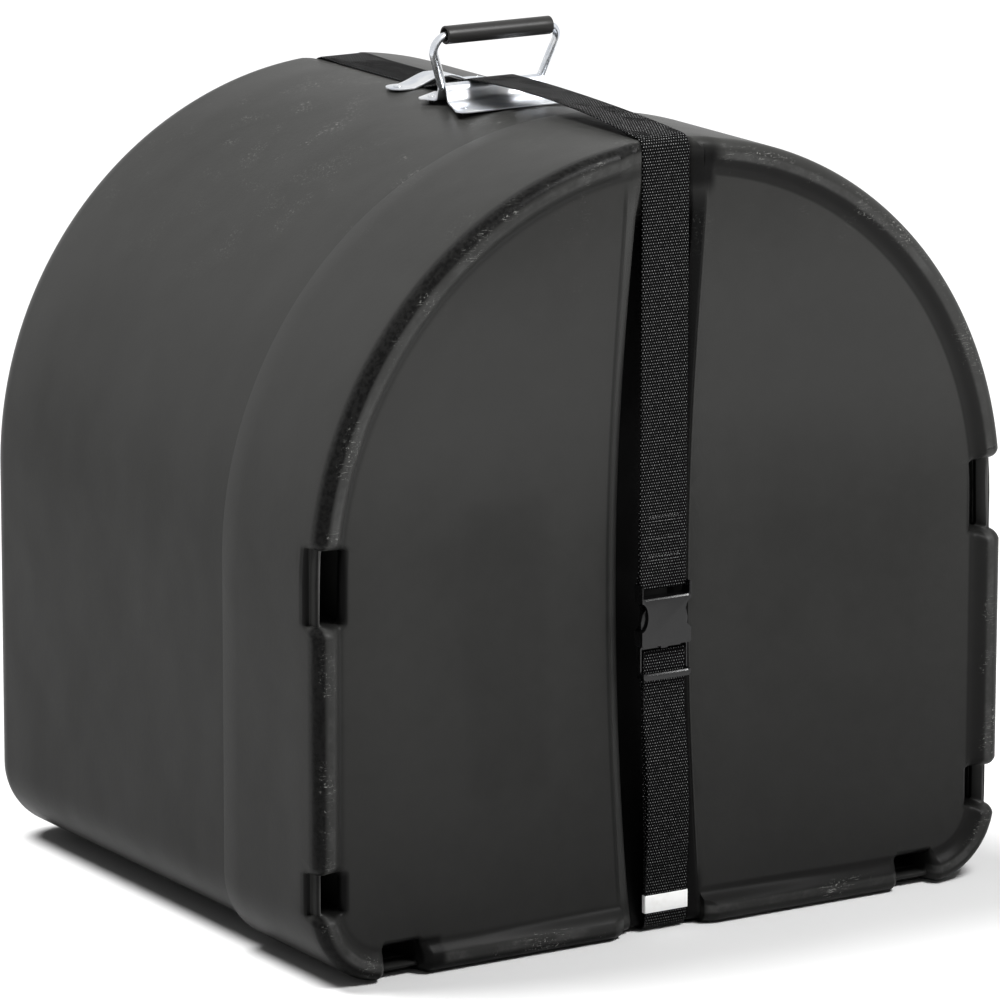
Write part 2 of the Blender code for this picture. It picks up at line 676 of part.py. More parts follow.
def keeper_rise(x):
    """How far the keeper's underside stands above its feet at x."""
    reach = abs(x)
    if reach >= KEEPER_FOOT_START:
        return 0
    if reach <= KEEPER_CREST_HALF:
        return KEEPER_RISE
    share = (KEEPER_FOOT_START - reach) / (KEEPER_FOOT_START - KEEPER_CREST_HALF)
    return KEEPER_RISE * (1 - math.cos(math.pi * share)) / 2


def make_keeper(rivet_holes):
    """Arched strip across the strap, standing on two flat feet."""
    start = KEEPER_HALF_LENGTH - KEEPER_END_RADIUS
    stations = [start + KEEPER_END_RADIUS * math.sin(math.pi / 2 * i / ROUND_STEPS)
                for i in range(ROUND_STEPS + 1)]
    half = [KEEPER_FOOT_START * i / KEEPER_STEPS for i in range(KEEPER_STEPS + 1)] + stations
    stations = [-x for x in reversed(half)] + half[1:]
    rings = []
    for x in stations:
        past = max(0, abs(x) - start)
        narrowing = math.sqrt(max(0, 1 - (past / KEEPER_END_RADIUS) ** 2))
        wide = max(KEEPER_WIDTH / 2 - KEEPER_END_RADIUS * (1 - narrowing), GAP)
        low = KEEPER_LOW + keeper_rise(x)
        high = low + KEEPER_THICKNESS
        rings.append([(x, KEEPER_Y - wide, low), (x, KEEPER_Y + wide, low),
                      (x, KEEPER_Y + wide, high), (x, KEEPER_Y - wide, high)])
    bm = bmesh.new()
    loft(bm, rings)
    keeper = finish(bm, "strap_keeper", "zinc", math.radians(35))
    boolean(keeper, rivet_holes)


def turned(bm, profile, centre, steps=TURN_STEPS):
    """Spin an (r, z) profile about the upright through a centre."""
    verts = [bm.verts.new((centre[0] + r, centre[1], centre[2] + z)) for r, z in profile]
    edges = [bm.edges.new((verts[i], verts[i + 1])) for i in range(len(verts) - 1)]
    if profile[0][0] != 0:
        edges.append(bm.edges.new((verts[-1], verts[0])))
    bmesh.ops.spin(bm, geom=verts + edges, cent=centre, axis=(0, 0, 1), angle=math.pi * 2,
                   steps=steps, use_merge=True, use_duplicate=False)
    bmesh.ops.remove_doubles(bm, verts=bm.verts, dist=GAP / 100)


def make_rivets():
    # The faceted skin lies this much nearer the arch's centre in the middle of a facet
    inner_radius = (BODY_RADIUS - BODY_WALL) * math.cos(math.pi / 2 / ARCH_STEPS)
    for name, seat in rivet_places():
        reach = seat.z - SPRING_HEIGHT - math.sqrt(inner_radius ** 2 - seat.x ** 2)
        skin_lean = math.asin(seat.x / inner_radius)
        slack = math.sin(abs(skin_lean)) * RIVET_TAIL_RADIUS
        tail = -(reach + GAP * 2 + WASHER_THICKNESS + slack)
        profile = [(0, GAP + RIVET_HEAD_HEIGHT)]
        for i in range(1, ROUND_STEPS + 1):
            turn = math.pi / 2 * i / ROUND_STEPS
            profile.append((RIVET_HEAD_RADIUS * math.sin(turn), GAP + RIVET_HEAD_HEIGHT * math.cos(turn)))
        profile += [(RIVET_SHANK_RADIUS, GAP), (RIVET_SHANK_RADIUS, tail), (RIVET_TAIL_RADIUS, tail),
                    (RIVET_TAIL_RADIUS, tail - RIVET_TAIL_HEIGHT), (0, tail - RIVET_TAIL_HEIGHT)]
        bm = bmesh.new()
        turned(bm, profile, seat, FASTENER_STEPS)
        finish(bm, name, "zinc", math.radians(35))
        bm = bmesh.new()
        half = WASHER_THICKNESS / 2
        ring = [(RIVET_HOLE_RADIUS, -half), (WASHER_RADIUS, -half),
                (WASHER_RADIUS, half), (RIVET_HOLE_RADIUS, half)]
        turned(bm, ring, Vector((0, 0, 0)), FASTENER_STEPS)
        under = seat - Vector((0, 0, reach + GAP + half))
        place = Matrix.Translation(under) @ Matrix.Rotation(skin_lean, 4, "Y")
        bmesh.ops.transform(bm, matrix=place, verts=bm.verts)
        finish(bm, name.replace("rivet", "washer"), "zinc", math.radians(35))


def fillet_path(points, radii, steps):
    """Open path through flat points, each inner corner rounded by its radius."""
    path = [points[0]]
    for before, here, after, radius in zip(points, points[1:], points[2:], radii):
        here = Vector(here)
        back = (Vector(before) - here).normalized()
        ahead = (Vector(after) - here).normalized()
        half = back.angle(ahead) / 2
        centre = here + (back + ahead).normalized() * (radius / math.sin(half))
        start = here + back * (radius / math.tan(half)) - centre
        end = here + ahead * (radius / math.tan(half)) - centre
        sweep = start.angle_signed(end)
        for i in range(steps + 1):
            turn = -sweep * i / steps
            cos, sin = math.cos(turn), math.sin(turn)
            path.append((centre.x + start.x * cos - start.y * sin,
                         centre.y + start.x * sin + start.y * cos))
    path.append(points[-1])
    return path


def make_handle():
    """Wire bail tucked into the plate's tunnel, and the tube grip on its top."""
    pivot = bpy.data.objects.new("bail_pivot", None)
    pivot.location = (0, HANDLE_Y, PIVOT_Z)
    pivot.rotation_euler = (BAIL_LEAN, 0, 0)
    bpy.context.scene.collection.objects.link(pivot)
    corners = [(-BAIL_TUCK, 0), (-BAIL_FOOT, 0), (-BAIL_SHOULDER, BAIL_HEIGHT),
               (BAIL_SHOULDER, BAIL_HEIGHT), (BAIL_FOOT, 0), (BAIL_TUCK, 0)]
    radii = [BAIL_FOOT_BEND, BAIL_TOP_BEND, BAIL_TOP_BEND, BAIL_FOOT_BEND]
    path = fillet_path(corners, radii, BEND_STEPS)
    curve = bpy.data.curves.new("handle_bail", "CURVE")
    curve.dimensions = "3D"
    curve.bevel_depth = WIRE_RADIUS
    curve.bevel_resolution = 2
    curve.use_fill_caps = True
    spline = curve.splines.new("POLY")
    spline.points.add(len(path) - 1)
    for point, (x, z) in zip(spline.points, path):
        point.co = (x, 0, z, 1)
    bail = bpy.data.objects.new("handle_bail", curve)
    bail.parent = pivot
    bpy.context.scene.collection.objects.link(bail)
    give_material(bail, "zinc")
    bore = WIRE_RADIUS + GAP
    bm = bmesh.new()
    half = GRIP_HALF_LENGTH
    ring = [(bore, -half), (GRIP_RADIUS - GRIP_ROUND, -half), (GRIP_RADIUS, -half + GRIP_ROUND),
            (GRIP_RADIUS, half - GRIP_ROUND), (GRIP_RADIUS - GRIP_ROUND, half), (bore, half)]
    turned(bm, ring, Vector((0, 0, 0)))
    grip = finish(bm, "handle_grip", "rubber", math.radians(35))
    grip.parent = pivot
    grip.rotation_euler = (0, math.pi / 2, 0)
    grip.location = (0, 0, BAIL_HEIGHT)


def upper_tangent(first, first_radius, second, second_radius):
    """Where the line over the top of two circles touches each, circles as (y, z) centres."""
    first, second = Vector(first), Vector(second)
    span = (second - first).length
    along = (second - first) / span
    up = Vector((-along.y, along.x))
    if up.y < 0:
        up = -up
    lean = (first_radius - second_radius) / span
    normal = along * lean + up * math.sqrt(1 - lean * lean)
    return first + normal * first_radius, second + normal * second_radius


def heading(centre, point):
    return math.atan2(point[1] - centre[1], point[0] - centre[0])


def ribbon(name, path, kind="webbing", width=WEB_WIDTH, thickness=WEB_THICKNESS):
    """Flat web along a (y, z) path that stands for its middle layer."""
    points = [Vector(point) for point in path]
    rings = []
    for i, point in enumerate(points):
        before = points[max(i - 1, 0)]
        after = points[min(i + 1, len(points) - 1)]
        along = (after - before).normalized()
        across = Vector((-along.y, along.x))
        if 0 < i < len(points) - 1:
            bend = (point - before).normalized().dot(along)
            across = across / bend
        high, low = point + across * thickness / 2, point - across * thickness / 2
        rings.append([(-width / 2, low.x, low.y), (width / 2, low.x, low.y),
                      (width / 2, high.x, high.y), (-width / 2, high.x, high.y)])
    bm = bmesh.new()
    loft(bm, rings)
    return finish(bm, name, kind, math.radians(35))


def strap_over_top():
    """The strap's upper line: arcs over the tunnel and the lid's corner, and the bow between them."""
    crest = (HANDLE_Y, TUNNEL_TOP - TUNNEL_OUTER_RADIUS)
    crest_radius = TUNNEL_OUTER_RADIUS + WEB_OFFSET
    corner = (FRONT_Y + CHANNEL_END_DEPTH + CHANNEL_END_ROUND, CASE_HEIGHT - CHANNEL_END_ROUND)
    corner_radius = CHANNEL_END_ROUND + WEB_OFFSET
    on_crest, on_corner = upper_tangent(crest, crest_radius, corner, corner_radius)
    lift = math.atan(STRAP_BOW * 4 / (on_corner - on_crest).length)
    crest_turn = heading(crest, on_crest) - lift
    corner_turn = heading(corner, on_corner) + lift
    start = arc(crest, crest_radius, crest_turn, crest_turn, 1)[0]
    end = arc(corner, corner_radius, corner_turn, corner_turn, 1)[0]

    def bow(from_y, to_y):
        points = []
        for i in range(BOW_STEPS + 1):
            y = from_y + (to_y - from_y) * i / BOW_STEPS
            share = (y - start[0]) / (end[0] - start[0])
            points.append((y, start[1] + (end[1] - start[1]) * share + STRAP_BOW * 4 * share * (1 - share)))
        return points

    return (crest, crest_radius, crest_turn), (corner, corner_radius, corner_turn), start[0], end[0], bow


def make_body_webbing():
    """Strap stretch that stays with the body: over the handle, down the back channel and underneath."""
    (crest, crest_radius, crest_turn), _, crest_y, _, bow = strap_over_top()
    landing = (KEEPER_Y - KEEPER_WIDTH / 2 - STRAP_LANDING_BACKSET, BODY_TOP + WEB_OFFSET)
    rear_touch = upper_tangent(crest, crest_radius, landing, 0)[0]
    path = bow(SEAM_Y + GAP / 2, crest_y)
    path += arc(crest, crest_radius, crest_turn, heading(crest, rear_touch), BEND_STEPS)[1:]
    path.append(landing)
    bend = BACK_CHANNEL_ROUND + WEB_OFFSET
    centre_y = BACK_Y - BACK_CHANNEL_DEPTH - BACK_CHANNEL_ROUND
    path += arc((centre_y, BODY_TOP - BACK_CHANNEL_ROUND), bend, math.pi / 2, 0, BEND_STEPS)
    path += arc((centre_y, BODY_STEP + BACK_CHANNEL_ROUND), bend, 0, -math.pi / 2, BEND_STEPS)
    path.append((SEAM_Y + RUNNER_SETBACK, BODY_STEP - WEB_OFFSET))
    path.append((SEAM_Y + GAP / 2 + WEB_OFFSET, UNDERSIDE_GROOVE - WEB_OFFSET))
    path.append((SEAM_Y + GAP / 2, UNDERSIDE_GROOVE - WEB_OFFSET))
    ribbon("webbing_body_run", path)


def strap_turn(bar_z, up, radius):
    """Half turn of the strap round a crossbar that stands behind its straight run."""
    low, high = (math.pi, 0) if up else (-math.pi, 0)
    return arc((STRAP_Y + radius, bar_z), radius, low, high, BEND_STEPS)


def make_lid_webbing():
    """Strap stretches on the lid: upper run, sewn end, lower run and the adjuster's tail."""
    _, (corner, corner_radius, corner_turn), _, corner_y, bow = strap_over_top()
    path = bow(SEAM_Y - GAP / 2, corner_y)
    path += arc(corner, corner_radius, corner_turn, math.pi, BEND_STEPS)[1:]
    path.append((STRAP_Y, SPLICE_TOP_Z))
    ribbon("webbing_upper_run", path)
    behind_y = STRAP_Y + WEB_THICKNESS + GAP
    turn_radius = SOCKET_BAR_THICKNESS / 2 + WEB_OFFSET
    path = [(STRAP_Y, SPLICE_TOP_Z - GAP)]
    path += strap_turn(BUCKLE_TOP_Z - SOCKET_BAR_DEPTH + BAR_ROUND, False, turn_radius)
    path.append((STRAP_Y + turn_radius * 2, BUCKLE_TOP_Z + GAP))
    path.append((behind_y, BUCKLE_TOP_Z + SEWN_END_LEAN))
    path.append((behind_y, SEWN_END_TOP_Z))
    ribbon("webbing_sewn_end", path)
    low_corner = (corner[0], UNDERSIDE_GROOVE + CHANNEL_END_ROUND)
    path = [(SEAM_Y - GAP / 2, UNDERSIDE_GROOVE - WEB_OFFSET)]
    path += arc(low_corner, corner_radius, -math.pi / 2, -math.pi, BEND_STEPS)
    path.append((STRAP_Y, PLUG_LOW_Z - GAP))
    ribbon("webbing_lower_run", path)
    path = [(STRAP_Y, PLUG_LOW_Z)]
    path += strap_turn(PLUG_LOW_Z + PLUG_BRIDGE_HIGH - BAR_ROUND, True, turn_radius)
    path.append((STRAP_Y + turn_radius * 2, PLUG_LOW_Z - GAP))
    path.append((behind_y, PLUG_LOW_Z - SEWN_END_LEAN))
    path.append((behind_y, TAIL_LOW_Z))
    ribbon("webbing_tail", path)


def strap_bar(name, wide, low, high):
    """Round-edged crossbar that the strap turns round, behind the strap's straight run."""
    front = STRAP_Y + WEB_OFFSET
    outline = rounded_rectangle(front, front + SOCKET_BAR_THICKNESS, low, high, BAR_ROUND)
    bm = bmesh.new()
    prism(bm, outline, lambda p: (-wide - GAP, p[0], p[1]), lambda p: (wide + GAP, p[0], p[1]))
    return finish(bm, name, cutter=True)


def make_socket():
    """Female half of the buckle: strap bar at the top, open mouth below, a window on each side."""
    half = BUCKLE_WIDTH / 2
    front, back = STRAP_Y - SOCKET_FRONT, STRAP_Y + SOCKET_BACK
    bm = bmesh.new()
    outline = rounded_rectangle(-half, half, SOCKET_LOW_Z, BUCKLE_TOP_Z, SOCKET_ROUND)
    prism(bm, outline, lambda p: (p[0], front, p[1]), lambda p: (p[0], back, p[1]))
    socket = finish(bm, "buckle_socket", "buckle", math.radians(35))
    middle = (front + back) / 2
    thick = SOCKET_CAVITY_THICKNESS / 2
    bm = bmesh.new()
    box(bm, (-SOCKET_CAVITY_HALF, middle - thick, SOCKET_LOW_Z - OVERRUN),
        (SOCKET_CAVITY_HALF, middle + thick, SOCKET_LOW_Z + SOCKET_MOUTH_DEPTH))
    boolean(socket, finish(bm, "socket_mouth", cutter=True))
    bm = bmesh.new()
    low = SOCKET_LOW_Z + WINDOW_LOW
    for sign in (-1, 1):
        centre = (sign * half, low + WINDOW_LENGTH / 2)
        outline = arc(centre, WINDOW_LENGTH / 2, 0, math.pi * 2, TURN_STEPS)[:-1]
        share = WINDOW_BITE / (WINDOW_LENGTH / 2)
        outline = [(sign * half + (x - sign * half) * share, z) for x, z in outline]
        prism(bm, outline, lambda p: (p[0], front - OVERRUN, p[1]), lambda p: (p[0], back + OVERRUN, p[1]))
    boolean(socket, finish(bm, "socket_windows", cutter=True))
    bm = bmesh.new()
    wide = SOCKET_STRAP_HALF
    floor = BUCKLE_TOP_Z - SOCKET_STRAP_DEPTH
    box(bm, (-wide, STRAP_Y - WEB_OFFSET, floor), (wide, back + OVERRUN, BUCKLE_TOP_Z + OVERRUN))
    boolean(socket, finish(bm, "socket_strap_space", cutter=True))
    boolean(socket, strap_bar("socket_bar", wide, BUCKLE_TOP_Z - SOCKET_BAR_DEPTH, BUCKLE_TOP_Z), "UNION")


def make_plug():
    """Male half of the buckle: ladder frame for the strap's tail, and the centre tongue."""
    half = BUCKLE_WIDTH / 2
    front, back = STRAP_Y - PLUG_FRONT, STRAP_Y + PLUG_BACK
    bm = bmesh.new()
    outline = rounded_rectangle(-half, half, PLUG_LOW_Z, PLUG_TOP_Z, SOCKET_ROUND)
    prism(bm, outline, lambda p: (p[0], front, p[1]), lambda p: (p[0], back, p[1]))
    plug = finish(bm, "buckle_plug", "buckle", math.radians(35))
    wide = half - PLUG_RAIL
    bm = bmesh.new()
    box(bm, (-wide, front - OVERRUN, PLUG_LOW_Z + PLUG_LOWER_BAR),
        (wide, back + OVERRUN, PLUG_TOP_Z - PLUG_HEAD))
    boolean(plug, finish(bm, "plug_window", cutter=True))
    bm = bmesh.new()
    box(bm, (-wide, STRAP_Y - PLUG_LOWER_BAR_BACK, PLUG_LOW_Z - OVERRUN),
        (wide, back + OVERRUN, PLUG_LOW_Z + PLUG_LOWER_BAR + OVERRUN))
    boolean(plug, finish(bm, "plug_strap_space", cutter=True))
    bridge = strap_bar("plug_bridge", wide, PLUG_LOW_Z + PLUG_BRIDGE_LOW, PLUG_LOW_Z + PLUG_BRIDGE_HIGH)
    boolean(plug, bridge, "UNION")
    middle = STRAP_Y + (SOCKET_BACK - SOCKET_FRONT) / 2
    thick = TONGUE_THICKNESS / 2
    bm = bmesh.new()
    box(bm, (-TONGUE_HALF, middle - thick, PLUG_TOP_Z - PLUG_HEAD / 2),
        (TONGUE_HALF, middle + thick, PLUG_TOP_Z + TONGUE_LENGTH))
    boolean(plug, finish(bm, "plug_tongue", cutter=True), "UNION")


def make_prongs():
    """The two sprung prongs that catch in the socket's windows, each turning at its root."""
    middle = STRAP_Y + (SOCKET_BACK - SOCKET_FRONT) / 2
    thick = PRONG_THICKNESS / 2
    root_z = PLUG_TOP_Z + GAP
    for side, sign in (("left", -1), ("right", 1)):
        root_x = sign * PRONG_REACH * (PRONG_SHARES[0][0] + PRONG_SHARES[1][0]) / 2
        bm = bmesh.new()
        outline = [(sign * PRONG_REACH * u - root_x, PRONG_LENGTH * v) for u, v in PRONG_SHARES]
        prism(bm, outline, lambda p: (p[0], -thick, p[1]), lambda p: (p[0], thick, p[1]))
        prong = finish(bm, "buckle_prong_" + side, "buckle", math.radians(35))
        prong.location = (root_x, middle, root_z)


def make_sleeve():
    """Blank sleeve that keeps the strap's tail against the lower run."""
    front = STRAP_Y - WEB_OFFSET
    back = STRAP_Y + WEB_THICKNESS * 3 / 2 + GAP * 2
    half = WEB_WIDTH / 2 + GAP
    bm = bmesh.new()
    box(bm, (-half - SLEEVE_WALL, front - SLEEVE_WALL, SLEEVE_LOW_Z),
        (half + SLEEVE_WALL, back + SLEEVE_WALL, SLEEVE_LOW_Z + SLEEVE_HEIGHT))
    sleeve = finish(bm, "strap_sleeve", "paper")
    bm = bmesh.new()
    box(bm, (-half, front, SLEEVE_LOW_Z - OVERRUN), (half, back, SLEEVE_LOW_Z + SLEEVE_HEIGHT + OVERRUN))
    boolean(sleeve, finish(bm, "sleeve_inside", cutter=True))


def main():
    clear_scene()
    rivet_holes = hole_cutter("rivet_holes")
    make_body_shell(rivet_holes)
    make_lid_shell()
    make_handle_plate(rivet_holes)
    make_keeper(rivet_holes)
    make_rivets()
    make_handle()
    make_body_webbing()
    make_lid_webbing()
    make_socket()
    make_plug()
    make_prongs()
    make_sleeve()


main()
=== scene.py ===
import math

import bmesh
import bpy
from mathutils import Matrix, Vector


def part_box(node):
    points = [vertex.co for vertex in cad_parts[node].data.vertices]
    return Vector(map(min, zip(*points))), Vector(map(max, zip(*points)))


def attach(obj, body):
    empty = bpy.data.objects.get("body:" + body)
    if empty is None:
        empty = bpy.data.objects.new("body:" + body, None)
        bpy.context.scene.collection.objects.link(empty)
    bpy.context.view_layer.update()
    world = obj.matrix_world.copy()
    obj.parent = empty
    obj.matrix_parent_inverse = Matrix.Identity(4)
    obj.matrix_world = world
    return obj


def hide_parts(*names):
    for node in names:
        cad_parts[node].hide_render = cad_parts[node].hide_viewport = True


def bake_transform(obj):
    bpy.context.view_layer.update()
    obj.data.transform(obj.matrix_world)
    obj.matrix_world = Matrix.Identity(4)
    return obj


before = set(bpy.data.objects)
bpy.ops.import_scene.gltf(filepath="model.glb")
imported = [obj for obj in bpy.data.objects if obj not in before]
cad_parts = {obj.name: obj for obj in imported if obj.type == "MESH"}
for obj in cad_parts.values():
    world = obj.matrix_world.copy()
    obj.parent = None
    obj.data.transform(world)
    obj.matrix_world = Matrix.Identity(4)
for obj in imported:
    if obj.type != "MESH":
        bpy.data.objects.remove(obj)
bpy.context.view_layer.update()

# Case, in metres
WIDTH = 0.735
HEIGHT = 0.729
DEPTH = 0.619
ARCH_RADIUS = WIDTH / 2
SPRING = HEIGHT - ARCH_RADIUS
CORNER_RADIUS = 0.0735
FRONT_Y = -DEPTH / 2
BACK_Y = DEPTH / 2
LID_DEPTH = 0.167
SEAM_Y = FRONT_Y + LID_DEPTH
LID_WALL = 0.005
LID_EDGE = 0.012
BODY_STEP = 0.0073
BODY_WALL = 0.0044
BODY_EDGE = 0.030
BODY_TOP = HEIGHT - BODY_STEP
MOUTH_Y = FRONT_Y + 0.0343
MOUTH_ROUND = 0.0015
GAP = 0.0003
OVER = 0.006
FINE = 4
COARSE = 2

# Lid face
BEAD_FLAT = 0.003
BEAD_WIDTH = 0.030
BEAD_HEIGHT = 0.008
FACE_DISH = 0.028
DISH_POWER = 1.4
DISH_HEIGHT = 0.330
DISH_UP = 0.370
DISH_DOWN = 0.375
PANEL = ((-0.160, FRONT_Y, 0.283), (0.034, 0.1, 0.122), (0.022, 0.022, 0.022))
PANEL_DEPTH = 0.0006
SLOT_HIGH_Z = 0.3645
SLOT_LOW_Z = 0.086
SLOT_BASE_X = 0.277
LONG_SLOT = 0.069
SHORT_SLOT = 0.038
BAR_INSET = 0.0103
BREAK_DEEP = 0.037

# Shade in the channel and slots: middle, half size, softness and depth
SHADES = (((0.0, FRONT_Y, 0.300), (0.0285, 0.052, 0.350), (0.0022, 0.010, 0.045), 1.0),
          ((0.0120, FRONT_Y, 0.300), (0.0272, 0.052, 0.350), (0.0045, 0.010, 0.060), 0.95),
          ((0.0360, FRONT_Y, 0.700), (0.0080, 0.016, 0.010), (0.010, 0.006, 0.020), 0.85),
          ((0.0360, FRONT_Y, 0.020), (0.0050, 0.030, 0.020), (0.008, 0.010, 0.020), 0.80),
          ((0.3430, FRONT_Y, SLOT_HIGH_Z), (0.0080, 0.060, 0.030), (0.0060, 0.010, 0.010), 1.0),
          ((0.3430, FRONT_Y, SLOT_LOW_Z), (0.0080, 0.060, 0.014), (0.0060, 0.010, 0.010), 1.0),
          ((SLOT_BASE_X, FRONT_Y, 0.0235), (0.014, 0.060, 0.0080), (0.0100, 0.010, 0.006), 1.0),
          ((0.3648, FRONT_Y + 0.0265, SLOT_HIGH_Z), (0.0022, 0.0040, 0.032), (0.0012, 0.0028, 0.006), 0.8),
          ((0.3648, FRONT_Y + 0.0265, SLOT_LOW_Z), (0.0022, 0.0040, 0.017), (0.0012, 0.0028, 0.006), 0.8),
          ((0.3572, FRONT_Y + 0.0500, SLOT_HIGH_Z), (0.0020, 0.0170, 0.040), (0.0020, 0.0050, 0.010), 1.0),
          ((0.3572, FRONT_Y + 0.0500, SLOT_LOW_Z), (0.0020, 0.0170, 0.025), (0.0020, 0.0050, 0.010), 1.0),
          ((-0.2480, FRONT_Y, 0.014), (0.0080, 0.030, 0.016), (0.0080, 0.010, 0.006), 0.9))

# Strap channels
CHANNEL_HALF = 0.041
CREASE = 1.03
SECTION = ((0.0, 0.0), (0.62, 0.0), (0.69, 0.04), (0.715, 0.16), (0.735, 0.36), (0.76, 0.50), (0.80, 0.60),
           (0.85, 0.71), (0.90, 0.81), (0.95, 0.90), (CREASE, 1.0), (1.06, 1.03))
CHANNEL_END = 0.014
CHANNEL_MID = 0.050
CHANNEL_MID_Z = 0.350
CHANNEL_HIGH_Z = 0.690
CHANNEL_ROUND = 0.010
CHANNEL_NARROW = 0.12
CHANNEL_NARROW_Z = 0.66
UNDER_GROOVE = 0.0024
BACK_CHANNEL = 0.026
BACK_ROUND = 0.025
BACK_SINK = 0.005

# Strap
WEB_WIDTH = 0.0495
WEB_THICK = 0.0018
WEB_OFFSET = GAP + WEB_THICK / 2
STRAP_Y = FRONT_Y + CHANNEL_END - WEB_OFFSET
STRAP_BOW = 0.0052
STRAP_TWIST = 0.0021
LOWER_NARROW = 0.0024
LOWER_SHIFT = 0.0053
LOWER_BOW = 0.0050
TAIL_END = 0.034
SEWN_END = 0.392

# Handle and keeper
HANDLE_Y = -0.005
PLATE_LOW = BODY_TOP + GAP
SHEET = 0.0016
PLATE_TOP = PLATE_LOW + SHEET
TUNNEL_OUTER = 0.008
TUNNEL_TOP = PLATE_TOP - SHEET + 0.0178
WIRE = 0.00315
WIRE_LOOK = 0.0035
PIVOT_Z = TUNNEL_TOP - SHEET - WIRE - 0.0006
BAIL_LEAN = math.radians(10)
BAIL_HEIGHT = 0.0525
KEEPER_Y = 0.090
KEEPER_LOW = SPRING + math.sqrt((ARCH_RADIUS - BODY_STEP) ** 2 - 0.033 ** 2) + GAP
KEEPER_RISE = 0.0091

# Buckle
BUCKLE_TOP = 0.325
SOCKET_LOW = 0.268
PLUG_TOP = SOCKET_LOW - GAP
PLUG_LOW = PLUG_TOP - 0.031
BRIDGE_HIGH = PLUG_LOW + 0.0245
BAR_THICK = 0.0030
BAR_ROUND = 0.0012
SOCKET_HALF = 0.0262
PLUG_HALF = 0.0252
PLUG_ASIDE = 0.0017
BUCKLE_FRONT = STRAP_Y - 0.0072
BUCKLE_BACK = STRAP_Y + 0.0060
PLUG_FRONT = STRAP_Y - 0.0058

# Colours
SKIN_DARK = (0.0200, 0.0200, 0.0192, 1)
SKIN_LIGHT = (0.0250, 0.0250, 0.0241, 1)
SKIN_LOW_SHADE = (0.006, 0.006, 0.006, 1)
SKIN_LIT = (0.042, 0.042, 0.041, 1)
BEAD_RUBBED_AND_LIT = (0.046, 0.046, 0.045, 1)
PAINTED_SHADE_TONE = (0.0010, 0.0010, 0.0010, 1)
SLOT_WALL_LIT = (0.09, 0.09, 0.088, 1)
SCUFFED = (0.22, 0.22, 0.21, 1)
WEB_BLACK = (0.0012, 0.0012, 0.0013, 1)
WEB_THREAD_GLINT = (0.26, 0.26, 0.26, 1)
ZINC_DULL = (0.60, 0.63, 0.68, 1)
ZINC_BRIGHT = (0.78, 0.79, 0.80, 1)
TAPE_WHITE = (0.88, 0.88, 0.87, 1)
TAPE_DIRTY = (0.70, 0.69, 0.65, 1)
BUMP = 0.00022

# Room and camera
DIM_ROOM = 0.14
LENS = 262.6
SHIFT = (0.01169, -0.00876)
EYE = (-3.49403, -5.61403, 1.87998)
FORWARD = (0.51480, 0.82714, -0.22543)
TURN = 0.5567
ROLL = 0.0016

QUARTER = math.pi / 2


# Materials

def feed(value, socket):
    """Link a socket to another one's value, or set it to a plain one."""
    if isinstance(value, bpy.types.NodeSocket):
        socket.id_data.links.new(value, socket)
    else:
        socket.default_value = value


def tree_of(values):
    return next(value.id_data for value in values if isinstance(value, bpy.types.NodeSocket))


def make_tree_node(tree, kind, settings=None, **values):
    node = tree.nodes.new(kind)
    for name, value in (settings or {}).items():
        setattr(node, name, value)
    for name, value in values.items():
        feed(value, node.inputs[name.replace("_", " ")])
    return node


def math_node(operation, *values):
    node = tree_of(values).nodes.new("ShaderNodeMath")
    node.operation = operation
    for value, socket in zip(values, node.inputs):
        feed(value, socket)
    return node.outputs[0]


def plus(first, second):
    return math_node("ADD", first, second)


def minus(first, second):
    return math_node("SUBTRACT", first, second)


def times(first, second):
    return math_node("MULTIPLY", first, second)


def most(first, second):
    return math_node("MAXIMUM", first, second)


def ramp(value, low, high):
    """Smooth step of a value from 0 at low to 1 at high."""
    return make_tree_node(value.id_data, "ShaderNodeMapRange", {"interpolation_type": "SMOOTHSTEP"}, Value=value,
                          From_Min=low, From_Max=high).outputs["Result"]


def fade(value, low, high):
    """Smooth step of a value from 1 at low to 0 at high."""
    return minus(1.0, ramp(value, low, high))


def band(value, low, high, soft):
    return times(ramp(value, low - soft, low), fade(value, high, high + soft))


def mix_colour(factor, first, second):
    node = factor.id_data.nodes.new("ShaderNodeMix")
    node.data_type = "RGBA"
    for value, number in ((factor, 0), (first, 6), (second, 7)):
        feed(value, node.inputs[number])
    return node.outputs[2]


def noise_at(place, scale, detail=3.0, rough=0.5):
    return make_tree_node(place.id_data, "ShaderNodeTexNoise", Vector=place, Scale=scale, Detail=detail,
                          Roughness=rough).outputs["Fac"]


def group(name, inputs, outputs):
    tree = bpy.data.node_groups.new(name, "ShaderNodeTree")
    for kind, label, default in inputs:
        socket = tree.interface.new_socket(label, in_out="INPUT", socket_type="NodeSocket" + kind)
        if default is not None:
            socket.default_value = default
    for label in outputs:
        tree.interface.new_socket(label, in_out="OUTPUT", socket_type="NodeSocketFloat")
    return tree, tree.nodes.new("NodeGroupInput").outputs, tree.nodes.new("NodeGroupOutput").inputs


def use_group(made, **values):
    node = tree_of(values.values()).nodes.new("ShaderNodeGroup")
    node.node_tree = made
    for label, value in values.items():
        feed(value, node.inputs[label])
    return node.outputs


